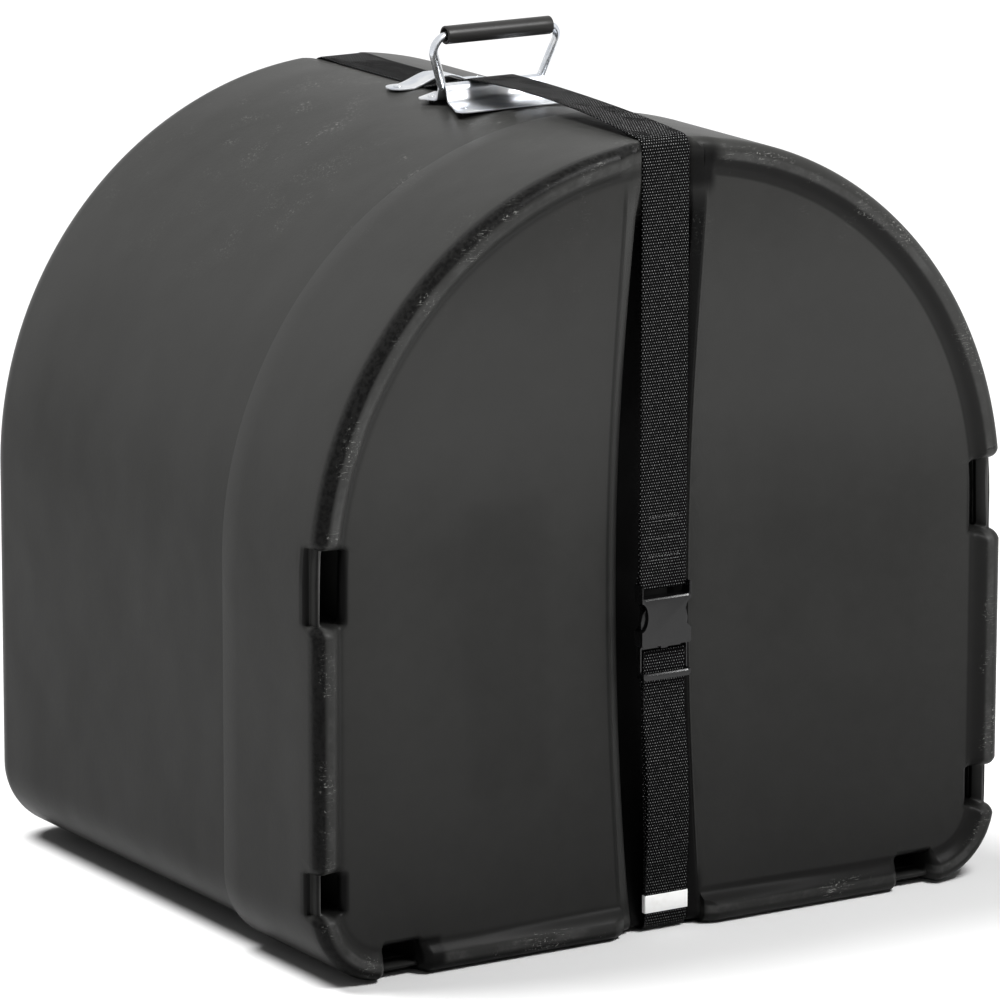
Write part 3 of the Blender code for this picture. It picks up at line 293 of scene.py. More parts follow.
def grain_group():
    """Moulded skin: fine pebble, orange peel and long soft waves, with light mottling."""
    tree, given, out = group("moulded_grain", (
        ("Vector", "Place", None), ("Float", "Pebble", 1.0), ("Float", "Waves", 1.0)), ("Height", "Mottle"))
    place = given["Place"]
    fine, peel, long = noise_at(place, 900.0, 2.0), noise_at(place, 160.0), noise_at(place, 7.0, 2.0)
    height = times(plus(fine, peel), given["Pebble"])
    feed(plus(height, times(times(long, 30.0), given["Waves"])), out["Height"])
    broad, small = noise_at(place, 5.0, 5.0, 0.62), noise_at(place, 60.0, 4.0, 0.6)
    feed(plus(times(broad, 0.7), times(small, 0.3)), out["Mottle"])
    return tree


def scuff_group():
    """Rubbed patches: short scratches and specks, thicker where the mask is high."""
    tree, given, out = group("scuffs", (
        ("Vector", "Place", None), ("Float", "Mask", 1.0), ("Float", "Amount", 1.0)), ("Scuff",))
    place = given["Place"]
    patches = ramp(noise_at(place, 26.0), 0.50, 0.72)
    stretched = make_tree_node(tree, "ShaderNodeMapping", Vector=place, Rotation=(0.3, 0.7, 0.4),
                               Scale=(1.0, 3.0, 9.0)).outputs[0]
    scratches = ramp(noise_at(stretched, 95.0, 4.0, 0.7), 0.56, 0.72)
    specks = ramp(noise_at(place, 420.0, 2.0), 0.60, 0.76)
    found = times(times(patches, most(scratches, specks)), given["Mask"])
    feed(math_node("MINIMUM", times(found, given["Amount"]), 1.0), out["Scuff"])
    return tree


def weave_group():
    """Webbing: ribs of thread across the strap, each row of crossings set half a rib along."""
    tree, given, out = group("weave", (
        ("Vector", "Flat", None), ("Float", "Rib", 0.0026), ("Float", "Row", 0.00273)), ("Height", "Crossing"))
    across, along, _ = make_tree_node(tree, "ShaderNodeSeparateXYZ", Vector=given["Flat"]).outputs
    row = math_node("DIVIDE", along, given["Row"])
    step = times(math_node("FLOOR", row), 0.5)
    rib = plus(math_node("DIVIDE", across, given["Rib"]), step)
    over_rib = math_node("PINGPONG", rib, 0.5)
    over_row = math_node("PINGPONG", row, 0.5)
    feed(times(ramp(over_rib, 0.05, 0.5), ramp(over_row, 0.05, 0.5)), out["Height"])
    feed(times(ramp(over_rib, 0.26, 0.44), ramp(over_row, 0.30, 0.44)), out["Crossing"])
    return tree


GRAIN = grain_group()
SCUFFS = scuff_group()
WEAVE = weave_group()


def new_material(name, **values):
    material = bpy.data.materials.new(name)
    material.use_nodes = True
    tree = material.node_tree
    shader = tree.nodes["Principled BSDF"]
    for label, value in values.items():
        shader.inputs[label.replace("_", " ")].default_value = value
    place = make_tree_node(tree, "ShaderNodeTexCoord").outputs["Object"]
    return material, shader, place


def bump(shader, height, distance, strength):
    node = make_tree_node(shader.id_data, "ShaderNodeBump", Height=height, Distance=distance, Strength=strength)
    feed(node.outputs["Normal"], shader.inputs["Normal"])


def soft_box(parts, centre, reach, soft, mirrored=True):
    """1 inside a box, falling softly to 0 round it. Mirrored boxes count on both sides of the case."""
    far = []
    for axis, value in enumerate(parts):
        if axis == 0 and mirrored:
            value = math_node("ABSOLUTE", value)
        off = minus(math_node("ABSOLUTE", minus(value, centre[axis])), reach[axis])
        far.append(math_node("POWER", most(math_node("DIVIDE", off, soft[axis]), 0.0), 2.0))
    return fade(math_node("SQRT", plus(plus(far[0], far[1]), far[2])), 0.0, 1.0)


def beside_channel(x, wide, soft, tall=0.31):
    """Upright box on the lid's face beside the strap channel, as soft_box takes it."""
    return (x, FRONT_Y, 0.36), (wide, 0.052, tall), (soft, 0.01, 0.03)


def edge_inset(x, z):
    """Distance in from the case's outline, for the bands along the bead."""
    def beyond(value, start, sign):
        return math_node("POWER", most(times(minus(value, start), sign), 0.0), 2.0)
    x = math_node("ABSOLUTE", x)
    arch = math_node("SQRT", plus(math_node("POWER", x, 2.0), beyond(z, SPRING, 1)))
    corner = math_node("SQRT", plus(beyond(x, ARCH_RADIUS - CORNER_RADIUS, 1), beyond(z, CORNER_RADIUS, -1)))
    return math_node("MINIMUM", minus(ARCH_RADIUS, arch), minus(CORNER_RADIUS, corner))


def lid_marks(parts, place, height, tone):
    """Where the lid is scuffed, its relief, and its tone with the bead rubbed and given a painted highlight, painted
    shade along the bead, in the channel and in the slots, and painted light beside the channel and on the slots'
    walls.
    """
    x, y, z = parts
    mask = most(fade(y, FRONT_Y + 0.0005, FRONT_Y + 0.005), times(ramp(z, 0.55, 0.73), 0.15))
    front = fade(y, FRONT_Y + 0.012, FRONT_Y + 0.020)
    inset = edge_inset(x, z)
    panel = soft_box(parts, *PANEL, mirrored=False)
    ridge = soft_box(parts, *beside_channel(CHANNEL_HALF * CREASE, 0.0001, 0.0012, 0.30))
    strip = soft_box(parts, *beside_channel(-0.0375, 0.0040, 0.0010), mirrored=False)
    crease_shade = soft_box(parts, *beside_channel(-0.0450, 0.0004, 0.0022), mirrored=False)
    height = minus(height, times(panel, PANEL_DEPTH / BUMP))
    height = plus(height, times(ridge, 0.0012 / BUMP))
    # Painted shade: the sunk panel a little darker, and a dark line beside the crease.
    shade = most(times(panel, 0.10), times(crease_shade, 0.45))
    # Painted shade along the bead: in its valley, on its outer rounded edge on the left side, and on the inner slope
    # on the right side, which faces away from the light.
    right = ramp(x, -0.04, 0.04)
    rough_edge = plus(times(ramp(noise_at(place, 240.0, 4.0, 0.7), 0.42, 0.60), 0.20), 0.72)
    left_edge = times(minus(1.0, right), rough_edge)
    for line, amount in ((band(inset, 0.0250, 0.0285, 0.005), 0.36),
                         (band(inset, 0.0008, 0.0068, 0.003), left_edge),
                         (band(inset, 0.0190, 0.0320, 0.003), times(right, 0.55))):
        shade = most(shade, times(times(line, front), amount))
    # Painted shade in the channel, in the slots, beside the strap and at the bead's knuckles.
    for centre, reach, soft, amount in SHADES:
        shade = most(shade, times(soft_box(parts, centre, reach, soft, mirrored=centre[0] > 0.1), amount))
    # The bead's crest lighter: partly real rubbing, partly a painted highlight. The strip left of the channel, which
    # faces the light, gets painted light.
    wear_and_sheen = times(band(inset, 0.0120, 0.0165, 0.003), front)
    wear_and_sheen = times(wear_and_sheen, plus(0.25, times(ramp(noise_at(place, 30.0, 4.0, 0.7), 0.4, 0.7), 0.75)))
    wear_and_sheen = most(wear_and_sheen, times(strip, 0.35))
    tone = mix_colour(shade, mix_colour(wear_and_sheen, tone, BEAD_RUBBED_AND_LIT), PAINTED_SHADE_TONE)
    # Painted light on the slots' inner walls.
    for middle, reach in ((SLOT_HIGH_Z, 0.033), (SLOT_LOW_Z, 0.018)):
        lit = soft_box(parts, (0.3565, FRONT_Y + 0.0215, middle), (0.0014, 0.0075, reach), (0.0006, 0.002, 0.003))
        tone = mix_colour(times(lit, 0.9), tone, SLOT_WALL_LIT)
    return mask, height, tone


def shell_material(name, lid=False):
    """Black moulded skin, with painted shade darker low down and a painted band of light higher up."""
    material, shader, place = new_material(name, Roughness=0.4, Specular_IOR_Level=0.05)
    grain = use_group(GRAIN, Place=place, Pebble=0.6, Waves=1.0)
    tone = mix_colour(ramp(grain["Mottle"], 0.3, 0.7), SKIN_DARK, SKIN_LIGHT)
    parts = make_tree_node(material.node_tree, "ShaderNodeSeparateXYZ", Vector=place).outputs
    height, z = grain["Height"], parts[2]
    # Painted shade: the skin darker towards the bottom; then a painted band of light on the upper sides.
    tone = mix_colour(times(fade(z, -0.05, 0.36), 0.42), tone, SKIN_LOW_SHADE)
    tone = mix_colour(times(band(z, 0.50, 0.56, 0.15), 0.45), tone, SKIN_LIT)
    if lid:
        mask, height, tone = lid_marks(parts, place, height, tone)
    else:
        mask = times(ramp(z, 0.52, 0.72), 0.35)
    bump(shader, height, BUMP, 0.55)
    scuff = use_group(SCUFFS, Place=place, Mask=mask, Amount=1.3)["Scuff"]
    feed(mix_colour(scuff, tone, SCUFFED), shader.inputs["Base Color"])
    rough = plus(times(grain["Mottle"], 0.12), 0.32)
    feed(plus(rough, times(scuff, 0.2)), shader.inputs["Roughness"])
    return material


def web_material(name):
    """Black webbing, with painted highlights at the crossings of its threads."""
    material, shader, place = new_material(name, Roughness=0.7, Specular_IOR_Level=0.03)
    flat = make_tree_node(material.node_tree, "ShaderNodeUVMap", {"uv_map": "strap"}).outputs["UV"]
    weave = use_group(WEAVE, Flat=flat)
    wear_and_sheen = ramp(noise_at(place, 400.0, 2.0), 0.35, 0.65)
    dot = times(weave["Crossing"], plus(times(wear_and_sheen, 0.7), 0.3))
    # Painted highlights on the thread crossings, varied in strength.
    feed(mix_colour(dot, WEB_BLACK, WEB_THREAD_GLINT), shader.inputs["Base Color"])
    bump(shader, weave["Height"], 0.0004, 0.9)
    return material


def metal_material(name, rough, stretch=(1.0, 6.0, 1.0)):
    """Bright zinc plate with faint streaks and small pits."""
    material, shader, place = new_material(name, Metallic=1.0)
    mapped = make_tree_node(material.node_tree, "ShaderNodeMapping", Vector=place, Scale=stretch).outputs[0]
    streak = noise_at(mapped, 130.0, 5.0, 0.65)
    cloud = noise_at(place, 55.0)
    feed(mix_colour(ramp(cloud, 0.3, 0.7), ZINC_DULL, ZINC_BRIGHT), shader.inputs["Base Color"])
    feed(plus(times(streak, 0.22), rough - 0.08), shader.inputs["Roughness"])
    bump(shader, plus(streak, times(cloud, 2.0)), 0.00012, 0.6)
    return material


def plastic_material(name, colour, rough, grain=0.3, shine=0.2):
    material, shader, place = new_material(name, Specular_IOR_Level=shine)
    skin = use_group(GRAIN, Place=place, Pebble=grain, Waves=0.05)
    bump(shader, skin["Height"], 0.0001, 0.5)
    dark = tuple(c * 0.75 for c in colour)
    feed(mix_colour(ramp(skin["Mottle"], 0.3, 0.7), (*dark, 1), (*colour, 1)), shader.inputs["Base Color"])
    feed(plus(times(skin["Mottle"], 0.16), rough - 0.08), shader.inputs["Roughness"])
    return material


def sleeve_material():
    """Blank white tape with a fine rib."""
    material, shader, place = new_material("sleeve_tape", Roughness=0.55)
    ribs = make_tree_node(material.node_tree, "ShaderNodeTexWave", {"bands_direction": "Z"}, Vector=place,
                          Scale=420.0, Distortion=0.4).outputs["Fac"]
    cloth = noise_at(place, 700.0, 2.0)
    bump(shader, plus(ribs, cloth), 0.00012, 0.5)
    dirt = ramp(noise_at(place, 90.0, 4.0), 0.45, 0.75)
    feed(mix_colour(times(dirt, 0.35), TAPE_WHITE, TAPE_DIRTY), shader.inputs["Base Color"])
    return material


LID_SKIN = shell_material("lid_skin", lid=True)
BODY_SKIN = shell_material("body_skin")
WEBBING = web_material("black_webbing")
ZINC = metal_material("zinc_sheet", 0.38)
WIRE_ZINC = metal_material("zinc_wire", 0.24, (3.0, 3.0, 0.6))
# Dark matt stand-in for the rivet shanks: painted shade.
SHANK_SHADE = plastic_material("shank_painted_shade", (0.015, 0.015, 0.015), 0.6)
GRIP = plastic_material("grip_vinyl", (0.016, 0.0155, 0.015), 0.36, 0.5)
ACETAL = plastic_material("buckle_acetal", (0.0032, 0.0032, 0.0034), 0.20, shine=0.29)
THREAD = plastic_material("stitch_thread", (0.10, 0.10, 0.10), 0.6)
SLEEVE = sleeve_material()


# Mesh helpers

def object_of(bm, name, material=None):
    bmesh.ops.recalc_face_normals(bm, faces=bm.faces)
    mesh = bpy.data.meshes.new(name)
    bm.to_mesh(mesh)
    bm.free()
    thing = bpy.data.objects.new(name, mesh)
    bpy.context.scene.collection.objects.link(thing)
    if material:
        mesh.materials.append(material)
    return thing


def cut(thing, tool, operation="DIFFERENCE"):
    modifier = thing.modifiers.new(tool.name, "BOOLEAN")
    modifier.operation = operation
    modifier.solver = "EXACT"
    modifier.object = tool


def smooth(mesh, sharp):
    mesh.shade_smooth()
    mesh.set_sharp_from_angle(angle=math.radians(sharp))


def settle(thing, sharp=35):
    """Apply a piece's modifiers, drop the tools that cut it, and shade it smooth."""
    bpy.context.view_layer.update()
    mesh = bpy.data.meshes.new_from_object(thing.evaluated_get(bpy.context.evaluated_depsgraph_get()))
    for modifier in list(thing.modifiers):
        if modifier.type == "BOOLEAN":
            bpy.data.objects.remove(modifier.object)
    thing.modifiers.clear()
    thing.data = mesh
    smooth(mesh, sharp)


def round_edges(thing, width, segments=3, angle=30):
    modifier = thing.modifiers.new("edges", "BEVEL")
    modifier.width = width
    modifier.segments = segments
    modifier.limit_method = "ANGLE"
    modifier.angle_limit = math.radians(angle)


def place_piece(thing, body, slot, *nodes):
    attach(thing, body)
    if nodes:
        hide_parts(*nodes)


def extrude_ring(bm, verts, edges, points):
    """Extrude a closed ring of edges and lay its new corners on the given points."""
    made = bmesh.ops.extrude_edge_only(bm, edges=edges)["geom"]
    fresh = {item for item in made if isinstance(item, bmesh.types.BMVert)}
    following = [next(edge.other_vert(vert) for edge in vert.link_edges if edge.other_vert(vert) in fresh)
                 for vert in verts]
    for twin, point in zip(following, points):
        twin.co = point
    next_edges = [item for item in made if isinstance(item, bmesh.types.BMEdge)
                  and item.verts[0] in fresh and item.verts[1] in fresh]
    return following, next_edges


def loft(bm, rings, apex=None):
    verts = [bm.verts.new(point) for point in rings[0]]
    edges = [bm.edges.new((verts[i - 1], verts[i])) for i in range(len(verts))]
    bm.faces.new(verts)
    for points in rings[1:]:
        verts, edges = extrude_ring(bm, verts, edges, points)
    if apex is None:
        bm.faces.new(verts)
        return
    verts, edges = extrude_ring(bm, verts, edges, [apex] * len(verts))
    bmesh.ops.pointmerge(bm, verts=verts, merge_co=apex)


def lofted(name, rings, material=None, apex=None):
    bm = bmesh.new()
    loft(bm, rings, apex)
    return object_of(bm, name, material)


def drawn_out(name, axis, outline, places, material=None):
    """Flat outline drawn out along axis 0, 1 or 2, through the given places on it."""
    return lofted(name, [[(*point[:axis], place, *point[axis:]) for point in outline] for place in places], material)


def block(name, low, high):
    bm = bmesh.new()
    low, high = Vector(low), Vector(high)
    verts = bmesh.ops.create_cube(bm, size=1.0)["verts"]
    bmesh.ops.scale(bm, verts=verts, vec=high - low)
    bmesh.ops.translate(bm, verts=verts, vec=(low + high) / 2)
    return object_of(bm, name)


def clamp(value):
    return min(1, max(0, value))


def between(first, last, steps):
    """Evenly spaced points between two places, without the places themselves."""
    return [tuple(a + (b - a) * i / steps for a, b in zip(first, last)) for i in range(1, steps)]


def quarter(steps, size):
    """Rounded edge of a size: for each point, how far it has turned in and how far it still lies out."""
    return [(size * (1 - math.cos(QUARTER * i / steps)), size * (1 - math.sin(QUARTER * i / steps)))
            for i in range(steps + 1)]


def arc(centre, radius, start, end, steps):
    return [(centre[0] + radius * math.cos(start + (end - start) * i / steps),
             centre[1] + radius * math.sin(start + (end - start) * i / steps)) for i in range(steps + 1)]


def rounded_rectangle(low_x, high_x, low_y, high_y, radius, steps=6):
    left, right, low, high = low_x + radius, high_x - radius, low_y + radius, high_y - radius
    points = []
    for number, corner in enumerate(((right, high), (left, high), (left, low), (right, low))):
        points += arc(corner, radius, QUARTER * number, QUARTER * (number + 1), steps)
    return points


def fillet_path(points, radii, steps):
    """Open path through flat points, each inner corner rounded by its radius."""
    path = [points[0]]
    for before, here, after, radius in zip(points, points[1:], points[2:], radii):
        here = Vector(here)
        back = (Vector(before) - here).normalized()
        ahead = (Vector(after) - here).normalized()
        half = back.angle(ahead) / 2
        centre = here + (back + ahead).normalized() * (radius / math.sin(half))
        start = here + back * (radius / math.tan(half)) - centre
        end = here + ahead * (radius / math.tan(half)) - centre
        sweep = start.angle_signed(end)
        for i in range(steps + 1):
            turn = -sweep * i / steps
            cos, sin = math.cos(turn), math.sin(turn)
            path.append((centre.x + start.x * cos - start.y * sin,
                         centre.y + start.x * sin + start.y * cos))
    path.append(points[-1])
    return path


def turned(bm, profile, centre, steps):
    """Spin an (r, z) profile about the upright through a centre."""
    verts = [bm.verts.new((centre[0] + r, centre[1], centre[2] + z)) for r, z in profile]
    edges = [bm.edges.new((verts[i], verts[i + 1])) for i in range(len(verts) - 1)]
    if profile[0][0] != 0:
        edges.append(bm.edges.new((verts[-1], verts[0])))
    bmesh.ops.spin(bm, geom=verts + edges, cent=centre, axis=(0, 0, 1), angle=math.pi * 2, steps=steps,
                   use_merge=True, use_duplicate=False)
    bmesh.ops.remove_doubles(bm, verts=bm.verts, dist=0.000003)


# Case shells

def case_outline(inset, fine=FINE):
    """Arched section of the case as (x, z) points, drawn in by an inset."""
    side = ARCH_RADIUS - inset
    corner = CORNER_RADIUS - inset
    centre_x = ARCH_RADIUS - CORNER_RADIUS
    side_steps, corner_steps, base_steps = 6 * fine, 5 * fine, 8 * fine
    points = arc((0, SPRING), side, 0, math.pi, 44 * fine)
    points += between((-side, SPRING), (-side, CORNER_RADIUS), side_steps)
    points += arc((-centre_x, CORNER_RADIUS), corner, math.pi, QUARTER * 3, corner_steps)
    points += [(centre_x * (2 * i / base_steps - 1), inset) for i in range(1, base_steps)]
    points += arc((centre_x, CORNER_RADIUS), corner, QUARTER * 3, QUARTER * 4, corner_steps)
    return points + between((side, CORNER_RADIUS), (side, SPRING), side_steps)


def ring_at(inset, y, fine=FINE):
    return [(x, y, z) for x, z in case_outline(inset, fine)]


def face_depth(x, z):
    reach = DISH_UP if z > DISH_HEIGHT else DISH_DOWN
    share = (x / (ARCH_RADIUS - BEAD_WIDTH)) ** 2 + ((z - DISH_HEIGHT) / reach) ** 2
    return BEAD_HEIGHT + FACE_DISH * (1.0 - min(1.0, share)) ** DISH_POWER


def face_rings(steps, extra, fine):
    """Rings over the dished face, from the bead's inner edge in towards the arch's centre."""
    rings = []
    for i in range(1, steps):
        share = (1 - i / steps) ** 0.8
        places = [(x * share, SPRING + (z - SPRING) * share) for x, z in case_outline(BEAD_WIDTH, fine)]
        rings.append([(x, FRONT_Y + face_depth(x, z) + extra, z) for x, z in places])
    return rings


def face_centre(extra):
    return Vector((0, FRONT_Y + face_depth(0, SPRING) + extra, SPRING))


def lid_outer(name, material):
    rings = [ring_at(aside, SEAM_Y - back) for back, aside in quarter(3, MOUTH_ROUND)]
    straight = LID_DEPTH - LID_EDGE - MOUTH_ROUND
    rings += [ring_at(0, SEAM_Y - MOUTH_ROUND - straight * i / 6) for i in range(1, 6)]
    rings += [ring_at(aside, FRONT_Y + back) for aside, back in quarter(8, LID_EDGE)]
    slope = BEAD_WIDTH - LID_EDGE - BEAD_FLAT
    for i in range(11):
        share = i / 10
        sink = (1 - math.cos(math.pi * share)) / 2
        outline = case_outline(LID_EDGE + BEAD_FLAT + slope * share)
        rings.append([(x, FRONT_Y + face_depth(x, z) * sink, z) for x, z in outline])
    return lofted(name, rings + face_rings(18, 0, FINE), material, face_centre(0))


def channel_depth(z):
    if z > CHANNEL_MID_Z:
        share = (z - CHANNEL_MID_Z) / (CHANNEL_HIGH_Z - CHANNEL_MID_Z)
        power = 1.2
    else:
        share = 1 - z / CHANNEL_MID_Z
        power = 0.7
    return CHANNEL_END + (CHANNEL_MID - CHANNEL_END) * (1 - min(1, share * share)) ** power


def channel_tool(name, grow, depth_at, top_at, low, high, radius, steps, face_y, inward):
    """Cutter for a strap channel, its floor rounded over at both ends and its sides up to the face."""
    inner = radius - grow
    low_end, high_end = [], []
    for i in range(9):
        turn = QUARTER * i / 8
        back = radius - inner * math.cos(turn)
        z = low + radius - inner * math.sin(turn)
        low_end.append((z, depth_at(z) + back))
        z = high - radius + inner * math.sin(turn)
        high_end.append((z, depth_at(z) + back))
    low_end.append((low - OVER, low_end[-1][1]))
    high_end.append((high + OVER, high_end[-1][1]))
    span = high - low - radius * 2
    middle = [(low + radius + span * i / steps, depth_at(low + radius + span * i / steps) + grow)
              for i in range(1, steps)]
    bm = bmesh.new()
    rings = []
    for z, floor in low_end[::-1] + middle + high_end:
        rise = depth_at(z) - top_at(z)
        half = CHANNEL_HALF * (1 - CHANNEL_NARROW * clamp((z - CHANNEL_NARROW_Z) / 0.03)) + grow
        right = [(half * wide, floor - rise * deep) for wide, deep in SECTION]
        right.append((right[-1][0] + 0.001, -OVER))
        left = [(-x, depth) for x, depth in reversed(right[1:])]
        rings.append([(x, face_y + inward * depth, z) for x, depth in right + left])
    loft(bm, rings)
    bmesh.ops.triangulate(bm, faces=bm.faces)
    return object_of(bm, name)


def channel_top(z):
    """Depth of the face beside the channel."""
    return max(0.0084, face_depth(CHANNEL_HALF * CREASE, z))


def lid_channel(name, grow):
    return channel_tool(name, grow, channel_depth, channel_top, UNDER_GROOVE, HEIGHT, CHANNEL_ROUND, 60,
                        FRONT_Y, 1)


def back_channel(name, grow):
    return channel_tool(name, grow, lambda z: BACK_CHANNEL, lambda z: BACK_SINK, BODY_STEP, BODY_TOP, BACK_ROUND,
                        2, BACK_Y, -1)


def on_outline(along, inset):
    """Place (x, z) on the case's outline, its length counted from the middle of the base."""
    flat = ARCH_RADIUS - CORNER_RADIUS
    if along < flat:
        return along, inset
    turn = (along - flat) / CORNER_RADIUS
    if turn < QUARTER:
        reach = CORNER_RADIUS - inset
        return flat + reach * math.sin(turn), CORNER_RADIUS - reach * math.cos(turn)
    up = along - flat - CORNER_RADIUS * QUARTER
    if up < SPRING - CORNER_RADIUS:
        return ARCH_RADIUS - inset, CORNER_RADIUS + up
    turn = (up - SPRING + CORNER_RADIUS) / ARCH_RADIUS
    return (ARCH_RADIUS - inset) * math.cos(turn), SPRING + (ARCH_RADIUS - inset) * math.sin(turn)


SIDE_START = ARCH_RADIUS - CORNER_RADIUS + CORNER_RADIUS * QUARTER
CREST = SIDE_START + SPRING - CORNER_RADIUS + ARCH_RADIUS * QUARTER
SLOTS = ((SLOT_BASE_X, SHORT_SLOT), (SIDE_START + SLOT_LOW_Z - CORNER_RADIUS, SHORT_SLOT),
         (SIDE_START + SLOT_HIGH_Z - CORNER_RADIUS, LONG_SLOT))
SLOT_BACKING = ((0.034, 0.0108), (0.025, 0.035))
SLOT_WINDOW = ((0.0293, 0.012), (0.0293, 0.0170), (0.036, 0.0185), (0.036, 0.060))
RECESS = ((0, BREAK_DEEP), (0.0001, 0.0300), (0.0003, 0.0265), (0.0010, 0.0250), (0.0022, 0.0243), (0.0040, 0.0241),
          (0.0054, 0.0238), (0.0060, 0.0228), (0.0062, 0.0205), (0.0063, 0.0180), (0.0064, 0.0158),
          (0.0068, 0.0145), (0.0075, 0.0137), (0.0084, 0.0135), (0.0094, 0.0135), (0.0100, 0.0137),
          (0.0103, 0.0143), (0.0130, 0.0160), (0.0180, 0.0166), (0.0240, 0.0168), (0.0280, 0.0168),
          (0.0293, 0.0166), (0.0297, 0.0148), (0.0303, 0.0133), (0.0312, 0.0117), (0.0322, 0.0104),
          (0.0333, 0.0094), (0.0346, 0.0086), (0.0362, 0.0080), (0.0380, 0.0078))


def bead_line():
    """Section of the bead from the lid's side over its crest to the face, a hair outside it."""
    line = [(0, BREAK_DEEP - 0.025 * i / 6) for i in range(7)]
    line += quarter(8, LID_EDGE)[1:] + [(0.0135, 0)]
    slope = BEAD_WIDTH - LID_EDGE - BEAD_FLAT
    line += [(BEAD_WIDTH - slope * (1 - i / 8), BEAD_HEIGHT * (1 - math.cos(math.pi * i / 8)) / 2)
             for i in range(9)]
    line += [(0.030 + 0.008 * i / 5, 0.0078) for i in range(1, 6)]
    return [(u - 0.0003, d - 0.0004) for u, d in line]


def gap_line():
    """Section left where the bead stops for the strap: the lid's edge set back to the face."""
    line = [(-0.0002, BREAK_DEEP - 0.0175 * i / 6) for i in range(7)]
    line += [(0.011 * (1 - math.cos(QUARTER * i / 8)), 0.0195 - 0.011 * math.sin(QUARTER * i / 8))
             for i in range(1, 9)]
    line += [(0.011 + 0.0190 * i / 10, 0.0085) for i in range(1, 11)]
    return line + [(0.030 + 0.008 * i / 5, 0.0085 - 0.0007 * i / 5) for i in range(1, 6)]


def bead_break(bm, centre, half, flare, sign, target, middles, gentle=0.0):
    """Cutter that sinks the bead's section to the target line, its ends rounded like knuckles."""
    spans = []
    for i in range(12):
        t = i / 11
        share = 1 - math.sqrt(max(0, 1 - t * t))
        spans.append((-half - flare * (1 - t), share + ((1 - math.cos(math.pi * t)) / 2 - share) * gentle))
    spans += [(-half + half * 2 * i / middles, 1) for i in range(1, middles)]
    spans += [(-w, share) for w, share in spans[11::-1]]
    rings = []
    for w, share in spans:
        line = [(a[0] + (b[0] - a[0]) * share, a[1] + (b[1] - a[1]) * share) for a, b in zip(bead_line(), target)]
        line += [(line[-1][0], -OVER), (-OVER, -OVER), (-OVER, line[0][1])]
        ring = []
        for u, d in line:
            x, z = on_outline(abs(centre + w), u)
            ring.append((x * sign * math.copysign(1, centre + w), FRONT_Y + d, z))
        rings.append(ring)
    loft(bm, rings)


def break_tool(name, places):
    bm = bmesh.new()
    for place in places:
        bead_break(bm, *place)
    bmesh.ops.triangulate(bm, faces=bm.faces)
    return object_of(bm, name)


def slot_recess_tool():
    return break_tool("slot_recess", [(centre, length / 2, 0.012, sign, RECESS, 4)
                                      for sign in (-1, 1) for centre, length in SLOTS])


def bead_gap_tool():
    return break_tool("bead_gap", [(centre, 0.038, 0.022, 1, gap_line(), 12, 0.8) for centre in (0, CREST)])


def slot_block(bm, rings, sign):
    loft(bm, [[(sign * x, FRONT_Y + depth, z) for x, z in outline] for outline, depth in rings])


def slot_backing_tool():
    """Room left in the lid's cavity for the walls round each slot."""
    bm = bmesh.new()
    for sign in (-1, 1):
        for centre, length in SLOTS:
            for deep, reach in SLOT_BACKING:
                half = length / 2 + LID_WALL
                outline = [on_outline(centre - half + half * 2 * i / 6, -OVER) for i in range(7)]
                outline += [on_outline(centre + half - half * 2 * i / 6, reach) for i in range(7)]
                slot_block(bm, [(outline, -OVER), (outline, deep)], sign)
    return object_of(bm, "slot_backing")


def slot_window_tool():
    """Rounded hole beside each slot's bar, widened behind the face's edge."""
    bm = bmesh.new()
    for sign in (-1, 1):
        for centre, length in SLOTS:
            rings = []
            for wide, depth in SLOT_WINDOW:
                flat = rounded_rectangle(BAR_INSET, wide, -length / 2, length / 2, 0.0035)
                rings.append(([on_outline(centre + w, u) for u, w in flat], depth))
            slot_block(bm, rings, sign)
    return object_of(bm, "slot_window")


def make_lid():
    lid = lid_outer("lid_moulding", LID_SKIN)
    inner_y, corner = FRONT_Y + (BEAD_HEIGHT + LID_WALL), 0.006
    rings = [ring_at(LID_WALL, SEAM_Y + OVER, COARSE), ring_at(LID_WALL, inner_y + corner, COARSE)]
    rings += [ring_at(LID_WALL + aside, inner_y + back, COARSE) for aside, back in quarter(4, corner)[1:4]]
    rings.append([(x, FRONT_Y + face_depth(x, z) + LID_WALL, z) for x, z in case_outline(BEAD_WIDTH, COARSE)])
    rings += face_rings(9, LID_WALL, COARSE)
    cavity = lofted("lid_cavity", rings, apex=face_centre(LID_WALL))
    cut(cavity, lid_channel("channel_backing", LID_WALL))
    cut(cavity, slot_backing_tool())
    settle(cavity)
    cut(lid, bead_gap_tool())
    cut(lid, lid_channel("channel", 0))
    half = CHANNEL_HALF * 0.82
    cut(lid, block("under_groove", (-half, FRONT_Y - OVER, -OVER), (half, SEAM_Y + OVER, UNDER_GROOVE)))
    cut(lid, cavity)
    cut(lid, slot_recess_tool())
    cut(lid, slot_window_tool())
    settle(lid, 20)
    place_piece(lid, "lid", "shell", "lid_shell")


def body_rings(inset, front, back, edge, fine):
    if inset == BODY_STEP:
        rings = [ring_at(inset + aside, front + deep, fine) for deep, aside in quarter(3, MOUTH_ROUND)]
    else:
        rings = [ring_at(inset, front, fine)]
    rings += [ring_at(inset, front + (back - edge - front) * i / 9, fine) for i in range(1, 9)]
    return rings + [ring_at(inset + aside, back - short, fine) for aside, short in quarter(10, edge)]


